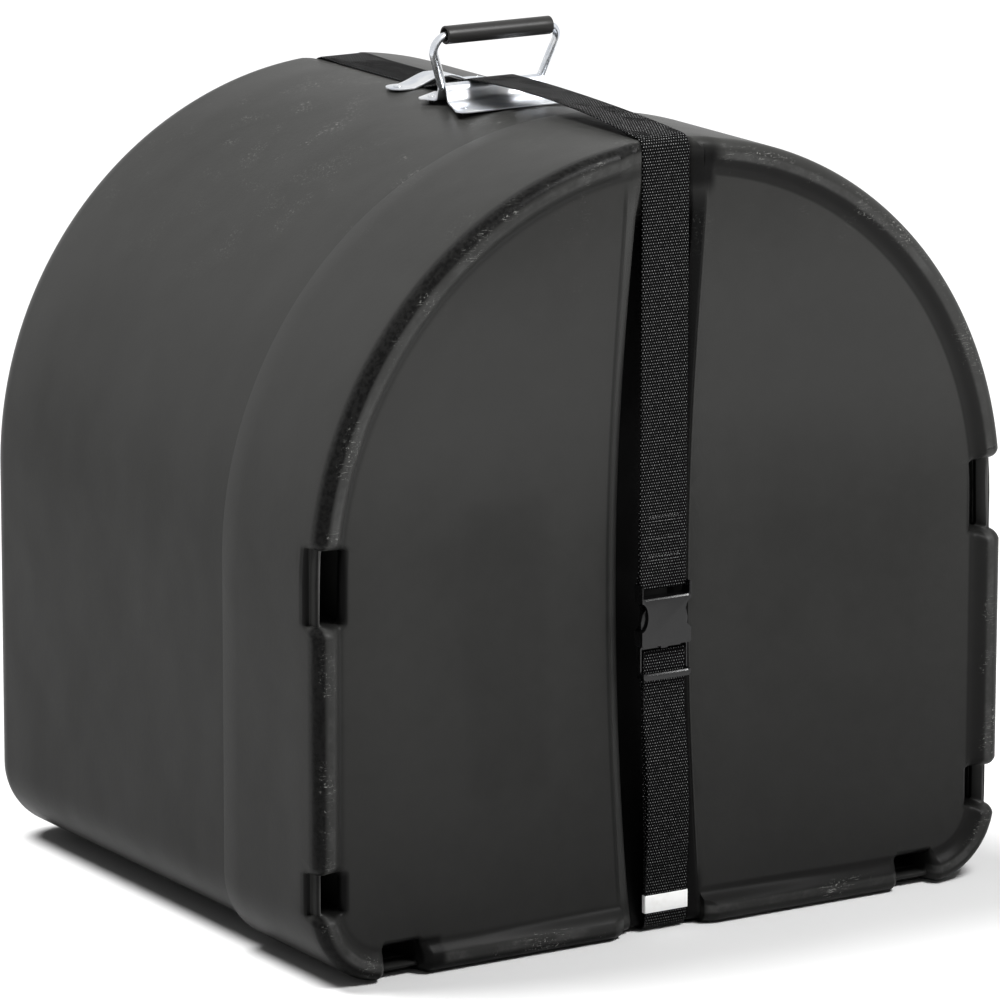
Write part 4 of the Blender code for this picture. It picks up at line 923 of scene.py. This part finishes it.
def make_runners():
    """Two low feet under the body that bring it level with the lid."""
    bm = bmesh.new()
    setback, length = 0.028, 0.355
    start = SEAM_Y + setback
    for low_x, high_x in ((-0.270, -0.048), (0.048, 0.270)):
        rings = []
        for grow, z in ((-0.002, 0), (0, 0.0015), (0.006, BODY_STEP), (0.006, BODY_STEP + 0.002)):
            outline = rounded_rectangle(low_x - grow, high_x + grow, start - grow, start + length + grow,
                                        setback / 2 + grow)
            rings.append([(x, y, z) for x, y in outline])
        loft(bm, rings)
    return object_of(bm, "runners")


def make_body():
    body = lofted("body_moulding", body_rings(BODY_STEP, MOUTH_Y, BACK_Y, BODY_EDGE, FINE), BODY_SKIN)
    cut(body, make_runners(), "UNION")
    cut(body, back_channel("back_channel", 0))
    cavity = lofted("body_cavity", body_rings(BODY_STEP + BODY_WALL, MOUTH_Y - OVER, BACK_Y - BODY_WALL,
                                              BODY_EDGE - BODY_WALL, COARSE))
    cut(cavity, back_channel("back_backing", BODY_WALL))
    settle(cavity)
    cut(body, cavity)
    settle(body)
    place_piece(body, "case_body", "shell", "body_shell")


make_lid()
make_body()


# Strap

def heading(centre, point):
    return math.atan2(point[1] - centre[1], point[0] - centre[0])


def upper_tangent(first, first_radius, second, second_radius):
    first, second = Vector(first), Vector(second)
    span = (second - first).length
    along = (second - first) / span
    up = Vector((-along.y, along.x))
    if up.y < 0:
        up = -up
    lean = (first_radius - second_radius) / span
    normal = along * lean + up * math.sqrt(1 - lean * lean)
    return first + normal * first_radius, second + normal * second_radius


def strap_path():
    """Middle line of the whole strap as (y, z) points, and where its top run starts and ends."""
    behind_y = STRAP_Y + WEB_THICK + GAP
    radius = BAR_THICK / 2 + WEB_OFFSET
    bar_z = BUCKLE_TOP - 0.0038 + BAR_ROUND
    path = fillet_path([(behind_y, SEWN_END), (behind_y, BUCKLE_TOP + 0.014),
                        (STRAP_Y + radius * 2, BUCKLE_TOP + 0.001), (STRAP_Y + radius * 2, bar_z)],
                       [0.012, 0.008], 5)[:-1]
    path += arc((STRAP_Y + radius, bar_z), radius, 0, -math.pi, 12)
    crest = (HANDLE_Y, TUNNEL_TOP - TUNNEL_OUTER)
    crest_radius = TUNNEL_OUTER + WEB_OFFSET
    corner = (FRONT_Y + CHANNEL_END + CHANNEL_ROUND, HEIGHT - CHANNEL_ROUND)
    corner_radius = CHANNEL_ROUND + WEB_OFFSET
    on_crest, on_corner = upper_tangent(crest, crest_radius, corner, corner_radius)
    lift = math.atan(STRAP_BOW * 4 / (on_corner - on_crest).length)
    crest_turn = heading(crest, on_crest) - lift
    corner_turn = heading(corner, on_corner) + lift
    path += between((STRAP_Y, BUCKLE_TOP), (STRAP_Y, corner[1]), 46)
    path += arc(corner, corner_radius, math.pi, corner_turn, 10)
    start = path[-1]
    end = arc(crest, crest_radius, crest_turn, crest_turn, 1)[0]
    for i in range(1, 36):
        share = i / 36
        path.append((start[0] + (end[0] - start[0]) * share,
                     start[1] + (end[1] - start[1]) * share + STRAP_BOW * 4 * share * (1 - share)))
    landing = (KEEPER_Y - 0.016, BODY_TOP + WEB_OFFSET)
    rear_touch = upper_tangent(crest, crest_radius, landing, 0)[0]
    path += arc(crest, crest_radius, crest_turn, heading(crest, rear_touch), 12)
    bend = BACK_ROUND + WEB_OFFSET
    centre_y = BACK_Y - BACK_CHANNEL - BACK_ROUND
    rear = fillet_path([path[-1], landing, (centre_y, landing[1])], [0.030], 6)
    path += rear[1:-1]
    path += between((rear[-2][0], landing[1]), (centre_y, landing[1]), 20)
    path += arc((centre_y, BODY_TOP - BACK_ROUND), bend, QUARTER, 0, 12)
    drop = BODY_STEP + 2 * BACK_ROUND - BODY_TOP
    path += [(centre_y + bend, BODY_TOP - BACK_ROUND + drop * i / 60) for i in range(1, 60)]
    path += arc((centre_y, BODY_STEP + BACK_ROUND), bend, 0, -QUARTER, 12)
    low = BODY_STEP - WEB_OFFSET
    groove = UNDER_GROOVE - WEB_OFFSET
    path += between((centre_y, low), (SEAM_Y + 0.035, low), 30)
    path += fillet_path([(SEAM_Y + 0.035, low), (SEAM_Y + 0.028, low), (SEAM_Y + 0.001, groove),
                         (SEAM_Y - 0.010, groove)], [0.020, 0.020], 5)[1:]
    low_corner = (corner[0], UNDER_GROOVE + CHANNEL_ROUND)
    run = corner[0] - SEAM_Y + 0.010
    path += [(SEAM_Y - 0.010 + run * i / 16, groove) for i in range(1, 16)]
    path += arc(low_corner, corner_radius, -QUARTER, -math.pi, 10)
    turn_z = BRIDGE_HIGH - BAR_ROUND
    for y, z in between((STRAP_Y, low_corner[1]), (STRAP_Y, turn_z), 28):
        path.append((y - LOWER_BOW * math.sin(math.pi * clamp((z - 0.030) / (PLUG_LOW - 0.040))) ** 2, z))
    path += arc((STRAP_Y + radius, turn_z), radius, math.pi, 0, 12)
    path += fillet_path([(STRAP_Y + radius * 2, turn_z), (STRAP_Y + radius * 2, PLUG_LOW - 0.001),
                         (behind_y, PLUG_LOW - 0.014), (behind_y, 0.2)], [0.008, 0.012], 5)[1:]
    path += [(behind_y, 0.2 + (TAIL_END - 0.2) * i / 20) for i in range(1, 21)]
    return path, start, end


def strap_ring(point, along, low_y, high_y, lower):
    """Section of the web with soft selvedges, and its place across the strap."""
    across = Vector((-along.y, along.x))
    half = WEB_WIDTH / 2 - LOWER_NARROW * lower
    shift = LOWER_SHIFT * lower
    if point.x < FRONT_Y + 0.05:
        shift = lower * (PLUG_ASIDE + (LOWER_SHIFT - PLUG_ASIDE) * clamp((0.20 - point.y) / 0.12))
    sides = []
    columns = (-1.0, -0.985, -0.95, -0.85, -0.6, -0.3, 0.0, 0.3, 0.6, 0.85, 0.95, 0.985, 1.0)
    twist = 0.0
    if along.x > 0.5 and low_y < point.x < high_y and point.y > 0.7:
        twist = STRAP_TWIST * math.sin(math.pi * (point.x - low_y) / (high_y - low_y))
    drape = 0
    if along.x > 0.5 and point.y > 0.7:
        drape = 1.1 * clamp((point.x - 0.035) / 0.03) * clamp((0.25 - point.x) / 0.03)
    for side in (1, -1):
        for u in columns[::side]:
            thin = math.sqrt(max(0.04, 1 - abs(u) ** 24))
            place = point + across * (side * WEB_THICK / 2 * thin)
            fall = u * twist + drape * (u * half) ** 2 / (2 * ARCH_RADIUS)
            sides.append(((u * half + shift, place.x, place.y - fall), u * half))
    return sides


def make_strap():
    path, corner, crest = strap_path()
    points = [Vector(point) for point in path]
    clean = [points[0]]
    for point in points[1:]:
        if (point - clean[-1]).length > 0.0002:
            clean.append(point)
    bm = bmesh.new()
    lengths = [0.0]
    rings = []
    lower = 0
    for i, point in enumerate(clean):
        before, after = clean[max(i - 1, 0)], clean[min(i + 1, len(clean) - 1)]
        if i:
            lengths.append(lengths[-1] + (point - before).length)
        if point.y < 0.05 and i > len(clean) / 3:
            lower = max(lower, clamp((0.15 - point.x) / 0.25))
        rings.append(strap_ring(point, (after - before).normalized(), corner[0], crest[0], lower))
    loft(bm, [[place for place, _ in ring] for ring in rings])
    layer = bm.loops.layers.uv.new("strap")
    order = {}
    for ring, length in zip(rings, lengths):
        for place, u in ring:
            order[tuple(round(c, 7) for c in place)] = (u, length)
    for face in bm.faces:
        for loop in face.loops:
            loop[layer].uv = order.get(tuple(round(c, 7) for c in loop.vert.co), (0, 0))
    strap = object_of(bm, "web_strap", WEBBING)
    smooth(strap.data, 60)
    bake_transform(strap)
    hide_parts("webbing_body_run", "webbing_upper_run", "webbing_sewn_end", "webbing_lower_run",
                "webbing_tail")


make_strap()


def make_stitches():
    """Rows of stitches across the splice."""
    face_y = STRAP_Y - WEB_THICK / 2
    low, high, half = 0.346, 0.386, 0.0165
    bm = bmesh.new()
    for z in (low, low + 0.004, (low + high) / 2, high - 0.004, high):
        start, end = Vector((-half, face_y, z)), Vector((half, face_y, z))
        span = end - start
        count = round(span.length / 0.0034)
        turn = span.to_track_quat("X", "Y").to_matrix().to_4x4()
        for i in range(count):
            place = Matrix.Translation(start + span * (i + 0.5) / count) @ turn
            made = bmesh.ops.create_uvsphere(bm, u_segments=6, v_segments=5, radius=1.0)["verts"]
            bmesh.ops.scale(bm, verts=made, vec=(0.0013, 0.00035, 0.00035))
            bmesh.ops.transform(bm, matrix=place, verts=made)
    stitches = object_of(bm, "splice_stitches", THREAD)
    stitches.data.shade_smooth()
    place_piece(stitches, "lid", "webbing")


make_stitches()


def make_sleeve():
    front = STRAP_Y - WEB_OFFSET
    back = STRAP_Y + WEB_THICK * 1.5 + GAP * 2
    half = WEB_WIDTH / 2 - LOWER_NARROW + GAP
    wall, low, high = 0.0006, 0.018, 0.0345
    outer = rounded_rectangle(LOWER_SHIFT - half - wall, LOWER_SHIFT + half + wall, front - wall, back + wall,
                              0.0011)
    inner = rounded_rectangle(LOWER_SHIFT - half, LOWER_SHIFT + half, front, back, 0.0005)
    sleeve = drawn_out("blank_sleeve", 2, outer, (low, (low + high) / 2, high), SLEEVE)
    cut(sleeve, drawn_out("sleeve_inside", 2, inner, (low - OVER, high + OVER)))
    round_edges(sleeve, 0.0002, 2)
    settle(sleeve)
    place_piece(sleeve, "lid", "sleeve", "strap_sleeve")


make_sleeve()


# Buckle

def strap_bar(name, wide, low, high):
    """Rounded bar that the web turns round."""
    front = STRAP_Y + WEB_OFFSET
    outline = rounded_rectangle(front, front + BAR_THICK, low, high, BAR_ROUND)
    return drawn_out(name, 0, outline, (-wide - GAP, wide + GAP))


def slanted_hole(name, aside, wide, low, high, front):
    """Rounded hole through a buckle half, its front edge cut back at a slant."""
    return lofted(name, [[(aside + x, y, z) for x, z in rounded_rectangle(
        -wide - grow / 2, wide + grow / 2, low - grow, high, 0.0028)] for y, grow in (
            (front - OVER, 0.0014), (front, 0.0014), (front + 0.0011, 0), (BUCKLE_BACK + OVER, 0))])


def socket_windows():
    """Oval openings in the socket's sides, where the prongs are pressed."""
    bm = bmesh.new()
    radius, squeeze = 0.0135, 0.0075
    for sign in (-1, 1):
        outline = arc((0, SOCKET_LOW + 0.0275), radius, 0, math.pi * 2, 40)[:-1]
        outline = [(sign * (SOCKET_HALF + 0.0010) + x * squeeze / radius, z) for x, z in outline]
        loft(bm, [[(x, y, z) for x, z in outline] for y in (BUCKLE_FRONT - OVER, BUCKLE_BACK + OVER)])
    return object_of(bm, "socket_windows")


def make_socket(middle):
    """Upper half: mouth, windows, and a bar for the sewn end of the web."""
    outline = rounded_rectangle(-SOCKET_HALF, SOCKET_HALF, SOCKET_LOW, BUCKLE_TOP, 0.0020)
    socket = drawn_out("buckle_mouth_half", 1, outline, (BUCKLE_FRONT, BUCKLE_BACK), ACETAL)
    cut(socket, block("socket_mouth", (-0.0225, middle - 0.0037, SOCKET_LOW - OVER),
                      (0.0225, middle + 0.0037, SOCKET_LOW + 0.040)))
    cut(socket, socket_windows())
    cut(socket, slanted_hole("socket_strap_space", 0, SOCKET_HALF - 0.0014, BUCKLE_TOP - 0.0125, BUCKLE_TOP + 0.012,
                             BUCKLE_FRONT))
    cut(socket, strap_bar("socket_bar", SOCKET_HALF - 0.0008, BUCKLE_TOP - 0.0038, BUCKLE_TOP - 0.0003), "UNION")
    round_edges(socket, 0.0006)
    settle(socket, 12)
    place_piece(socket, "lid", "buckle", "buckle_socket")


def make_plug(middle):
    """Lower half: rails, the adjuster's bars and the centre tongue."""
    outline = rounded_rectangle(PLUG_ASIDE - PLUG_HALF, PLUG_ASIDE + PLUG_HALF, PLUG_LOW, PLUG_TOP, 0.0030)
    plug_half = drawn_out("buckle_ladder_half", 1, outline, (PLUG_FRONT, BUCKLE_BACK), ACETAL)
    wide = PLUG_HALF - 0.0013
    cut(plug_half, slanted_hole("plug_window", PLUG_ASIDE, wide, PLUG_LOW + 0.0058, PLUG_TOP - 0.0010, PLUG_FRONT))
    cut(plug_half, block("plug_rail_fronts", (-0.05, BUCKLE_FRONT - OVER, PLUG_LOW + 0.0064),
                         (0.05, STRAP_Y + 0.0002, PLUG_TOP + OVER)))
    cut(plug_half, block("plug_strap_space", (PLUG_ASIDE - wide, STRAP_Y - 0.0014, PLUG_LOW - OVER),
                         (PLUG_ASIDE + wide, BUCKLE_BACK + OVER, PLUG_LOW + 0.0058 + OVER)))
    bridge = strap_bar("plug_bridge", wide, BRIDGE_HIGH - 0.0060, BRIDGE_HIGH)
    bridge.data.transform(Matrix.Translation((PLUG_ASIDE, 0, 0)))
    cut(plug_half, bridge, "UNION")
    cut(plug_half, block("plug_head", (-0.0205, STRAP_Y + 0.0016, PLUG_TOP - 0.0034),
                         (0.0205, BUCKLE_BACK - 0.0010, PLUG_TOP - 0.0004)), "UNION")
    cut(plug_half, block("plug_tongue", (-0.0035, middle - 0.0025, PLUG_TOP - 0.0030),
                         (0.0035, middle + 0.0025, PLUG_TOP + 0.034)), "UNION")
    round_edges(plug_half, 0.0006)
    settle(plug_half, 12)
    place_piece(plug_half, "lid", "buckle", "buckle_plug")


def make_prongs(middle):
    """Sprung prongs, their outlines given as shares of a width and a length."""
    shares = ((0.47, 0.0), (0.59, 0.0), (0.64, 0.40), (0.98, 0.44), (1.0, 0.62), (0.93, 0.82), (0.72, 0.98),
              (0.56, 1.0), (0.50, 0.92), (0.60, 0.68), (0.52, 0.40), (0.46, 0.22))
    for side, sign in (("left", -1), ("right", 1)):
        outline = [(sign * PLUG_HALF * u, PLUG_TOP + GAP + 0.0365 * v) for u, v in shares]
        prong = drawn_out("prong_" + side, 1, outline, (middle - 0.0028, middle + 0.0028), ACETAL)
        round_edges(prong, 0.0007)
        settle(prong)
        place_piece(prong, "prong_" + side, "buckle", "buckle_prong_" + side)


def make_buckle():
    middle = (BUCKLE_FRONT + BUCKLE_BACK) / 2
    make_socket(middle)
    make_plug(middle)
    make_prongs(middle)


make_buckle()


# Handle, keeper and rivets

def make_plate():
    """Handle plate bent from one sheet: flange, tunnel for the wire, flange."""
    top = 0.0068
    centre = TUNNEL_TOP - top
    feet = 0.0108
    over = fillet_path([(-0.059, PLATE_TOP), (-feet, PLATE_TOP), (-top, centre)], [0.0062], 8)
    over += arc((0, centre), top, math.pi, 0, 24)[1:]
    over += fillet_path([(top, centre), (feet, PLATE_TOP), (0.049, PLATE_TOP)], [0.0062], 8)[1:]
    inner, inner_feet = top - SHEET, feet - SHEET - 0.0003
    under = fillet_path([(0.049, PLATE_LOW), (inner_feet, PLATE_LOW), (inner, centre)], [0.0060], 8)
    under += arc((0, centre), inner, 0, math.pi, 24)[1:]
    under += fillet_path([(-inner, centre), (-inner_feet, PLATE_LOW), (-0.059, PLATE_LOW)], [0.0060], 8)[1:]
    rings = []
    for i in range(61):
        x = 0.075 * (i / 30 - 1)
        flare = 0.0013 * clamp((abs(x) - 0.0465) / 0.0065) ** 1.5
        ring = []
        for y, z in over + under:
            out = Vector((y, max(0, z - centre))).normalized()
            hold = clamp((z - PLATE_TOP) / 0.005)
            ring.append((x, HANDLE_Y + y + out.x * flare * hold, z + out.y * flare * hold * 0.4))
        rings.append(ring)
    plate = lofted("bent_plate", rings, ZINC)
    corner = 0.009
    right = [(0.0535, -feet), (0.0610, -0.030), (0.069, -0.048)]
    right += arc((0.069 - corner, -0.059 + corner), corner, 0, -QUARTER, 10)
    rear = [(0.032, 0.049)]
    rear += arc((0.062 - 0.0055, 0.026), 0.0055, math.pi / 3, -math.pi / 3, 10)
    rear += [(0.0535, feet)]
    half = rear + right
    plan = [(x, HANDLE_Y + y) for x, y in half + [(-x, y) for x, y in reversed(half)]]
    cut(plate, drawn_out("plate_plan", 2, plan, (PLATE_LOW - OVER, TUNNEL_TOP + OVER)), "INTERSECT")
    round_edges(plate, 0.0005, 2, 50)
    settle(plate)
    place_piece(plate, "case_body", "zinc", "handle_plate")


def make_keeper():
    """Arched strip over the strap, standing on two flat feet."""
    crest, foot, reach, end, wide = 0.007, 0.035, 0.054, 0.013, 0.014
    stations = [foot * i / 24 for i in range(25)]
    stations += [reach - end + end * math.sin(QUARTER * i / 10) for i in range(11)]
    stations = [-x for x in reversed(stations)] + stations[1:]
    rings = []
    for x in stations:
        share = clamp((foot - abs(x)) / (foot - crest))
        low = KEEPER_LOW + KEEPER_RISE * (0.2 * (1 - math.cos(math.pi * share)) + 0.6 * share)
        past = max(0, abs(x) - (reach - end))
        half = max(wide - end * (1 - math.sqrt(max(0, 1 - (past / end) ** 2))), GAP)
        rings.append([(x, KEEPER_Y - half, low), (x, KEEPER_Y + half, low),
                      (x, KEEPER_Y + half, low + SHEET), (x, KEEPER_Y - half, low + SHEET)])
    keeper = lofted("arched_keeper", rings, ZINC)
    round_edges(keeper, 0.0004, 2, 50)
    settle(keeper)
    place_piece(keeper, "case_body", "zinc", "strap_keeper")


def make_rivets():
    places = (("front", 0.055, HANDLE_Y - 0.041, PLATE_TOP, "plate"),
              ("rear", 0.0495, HANDLE_Y + 0.026, PLATE_TOP, "plate"),
              ("", 0.0435, KEEPER_Y, KEEPER_LOW + SHEET, "keeper"))
    for end, x, y, z, owner in places:
        for side, sign in (("left", -1), ("right", 1)):
            node = "_".join(word for word in (owner, "rivet", end, side) if word)
            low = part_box(node)[0].z
            wide, tall = (0.0034, 0.0009) if owner == "plate" else (0.0043, 0.0018)
            profile = [(0, GAP + tall * 0.35), (0.0007, GAP + tall * 0.4), (0.0011, GAP + tall * 0.97)]
            profile += [(wide * math.sin(QUARTER * i / 10), GAP + tall * math.cos(QUARTER * i / 10))
                        for i in range(4, 11)]
            profile += [(wide - 0.0001, GAP * 0.5), (0.0021, GAP * 0.5), (0.0021, low - z + 0.0014),
                        (0.0037, low - z + 0.0012), (0.0037, low - z + 0.0003), (0.0034, low - z), (0, low - z)]
            bm = bmesh.new()
            turned(bm, profile, Vector((sign * x, y, z)), 32)
            rivet = object_of(bm, node + "_fine", WIRE_ZINC)
            # Shank faces below the head take the dark material: painted shade under the plate and keeper.
            rivet.data.materials.append(SHANK_SHADE)
            for face in rivet.data.polygons:
                if face.center.z < z - GAP:
                    face.material_index = 1
            smooth(rivet.data, 40)
            place_piece(rivet, "case_body", "zinc", node)


def make_handle():
    corners = [(-0.038, 0), (-0.0530, 0), (-0.0728, BAIL_HEIGHT), (0.0700, BAIL_HEIGHT), (0.0510, 0), (0.038, 0)]
    path = fillet_path(corners, [0.0070, 0.0140, 0.0110, 0.0070], 14)
    path = [(a[0] + (b[0] - a[0]) * i / 4, a[1] + (b[1] - a[1]) * i / 4) for a, b in zip(path, path[1:])
            for i in range(4)] + path[-1:]
    curve = bpy.data.curves.new("bail_line", "CURVE")
    curve.dimensions = "3D"
    curve.bevel_depth = WIRE_LOOK
    curve.bevel_resolution = 8
    curve.use_fill_caps = True
    spline = curve.splines.new("POLY")
    spline.points.add(len(path) - 1)
    lean = Matrix.Translation((0, HANDLE_Y, PIVOT_Z)) @ Matrix.Rotation(BAIL_LEAN, 4, "X")
    for point, (x, z) in zip(spline.points, path):
        point.co = (*(lean @ Vector((x, 0, z))), 1)
        swell = clamp(z / 0.008) * clamp((BAIL_HEIGHT - z) / 0.02)
        point.radius = 1 + (0.24 if x < 0 else 0.08) * swell
    holder = bpy.data.objects.new("bail_line", curve)
    bpy.context.scene.collection.objects.link(holder)
    mesh = bpy.data.meshes.new_from_object(holder.evaluated_get(bpy.context.evaluated_depsgraph_get()))
    bpy.data.objects.remove(holder)
    bail = bpy.data.objects.new("wire_bail", mesh)
    bpy.context.scene.collection.objects.link(bail)
    mesh.materials.clear()
    mesh.materials.append(WIRE_ZINC)
    smooth(mesh, 40)
    place_piece(bail, "handle", "zinc", "handle_bail")
    make_grip(lean)


def make_grip(lean):
    """Tube pushed over the bail, turned as one shell that narrows to the wire inside."""
    bore, outer, half, rim = 0.0062, 0.0085, 0.0565, 0.0009
    neck, deep = WIRE_LOOK + GAP, 0.012
    profile = [(neck, -half + deep), (bore, -half + deep), (bore, -half + 0.0004), (bore + 0.0005, -half)]
    profile += [(outer - rim + rim * math.sin(QUARTER * i / 5), -half + rim * (1 - math.cos(QUARTER * i / 5)))
                for i in range(6)]
    profile += [(outer, -half + (half * 2) * i / 12) for i in range(1, 12)]
    profile += [(outer - rim + rim * math.cos(QUARTER * i / 5), half - rim * (1 - math.sin(QUARTER * i / 5)))
                for i in range(6)]
    profile += [(bore + 0.0005, half), (bore, half - 0.0004), (bore, half - deep), (neck, half - deep)]
    bm = bmesh.new()
    turned(bm, profile, Vector((0, 0, 0)), 40)
    place = lean @ Matrix.Translation((0, 0, BAIL_HEIGHT)) @ Matrix.Rotation(QUARTER, 4, "Y")
    bmesh.ops.transform(bm, matrix=place, verts=bm.verts)
    grip = object_of(bm, "tube_grip", GRIP)
    smooth(grip.data, 50)
    place_piece(grip, "handle", "grip", "handle_grip")


make_plate()
make_keeper()
make_rivets()
make_handle()

for name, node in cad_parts.items():
    if "washer" in name:
        node.data.materials.clear()
        node.data.materials.append(ZINC)


# Room, lamps and camera

def floor_material():
    """Pale matt floor."""
    material = bpy.data.materials.new("pale_floor")
    material.use_nodes = True
    shader = material.node_tree.nodes["Principled BSDF"]
    for label, value in (("Base Color", (0.72, 0.72, 0.72, 1)), ("Roughness", 0.9), ("Specular IOR Level", 0.1)):
        shader.inputs[label].default_value = value
    return material


bm = bmesh.new()
bmesh.ops.create_grid(bm, x_segments=1, y_segments=1, size=12.0)
bmesh.ops.translate(bm, verts=bm.verts, vec=(0, 0, -0.0005))
floor = object_of(bm, "floor", floor_material())

scene = bpy.context.scene
scene.view_settings.view_transform = "Standard"
# White room for camera, mirror and glass rays, and a dim one for the rest
world = bpy.data.worlds.new("white_room")
scene.world = world
world.use_nodes = True
background = world.node_tree.nodes["Background"]
background.inputs["Color"].default_value = (1, 1, 1, 1)
rays = world.node_tree.nodes.new("ShaderNodeLightPath").outputs
seen = most(rays["Is Camera Ray"], most(rays["Is Glossy Ray"], rays["Is Transmission Ray"]))
feed(plus(times(seen, 1 - DIM_ROOM), DIM_ROOM), background.inputs["Strength"])


def soft_sun(name, strength, spread, towards):
    """Broad, even lamp far off in the given direction."""
    lamp = bpy.data.lights.new(name, "SUN")
    lamp.energy = strength
    lamp.angle = math.radians(spread)
    thing = bpy.data.objects.new(name, lamp)
    thing.rotation_euler = Vector(towards).to_track_quat("Z", "Y").to_euler()
    thing.visible_glossy = False
    scene.collection.objects.link(thing)


def soft_box_lamp(name, size, power, place, target):
    """Square lamp near the case."""
    lamp = bpy.data.lights.new(name, "AREA")
    lamp.size = size
    lamp.energy = power
    thing = bpy.data.objects.new(name, lamp)
    thing.location = place
    thing.rotation_euler = (Vector(target) - Vector(place)).to_track_quat("-Z", "Y").to_euler()
    scene.collection.objects.link(thing)
    return thing


soft_sun("side_light", 4.8, 24, (-0.27, 0.30, 0.91))
soft_box_lamp("top_light", 1.0, 13, (-0.45, 0.25, 2.0), (-0.1, 0, 0.7)).visible_glossy = False
soft_box_lamp("front_light", 0.7, 50, (0.60, -1.30, 1.85), (0, -0.3, 0.55))

camera = bpy.data.cameras.new("photo_view")
camera.lens = LENS
camera.sensor_width = 36
camera.shift_x, camera.shift_y = SHIFT
camera.clip_end = 50
viewer = bpy.data.objects.new("photo_view", camera)
scene.collection.objects.link(viewer)
scene.camera = viewer
forward = Vector(FORWARD).normalized()
right = Vector((math.cos(TURN), -math.sin(TURN), 0))
up = right.cross(forward)
right, up = right * math.cos(ROLL) + up * math.sin(ROLL), up * math.cos(ROLL) - right * math.sin(ROLL)
viewer.matrix_world = Matrix([(right[i], up[i], -forward[i], EYE[i]) for i in range(3)] + [(0, 0, 0, 1)])
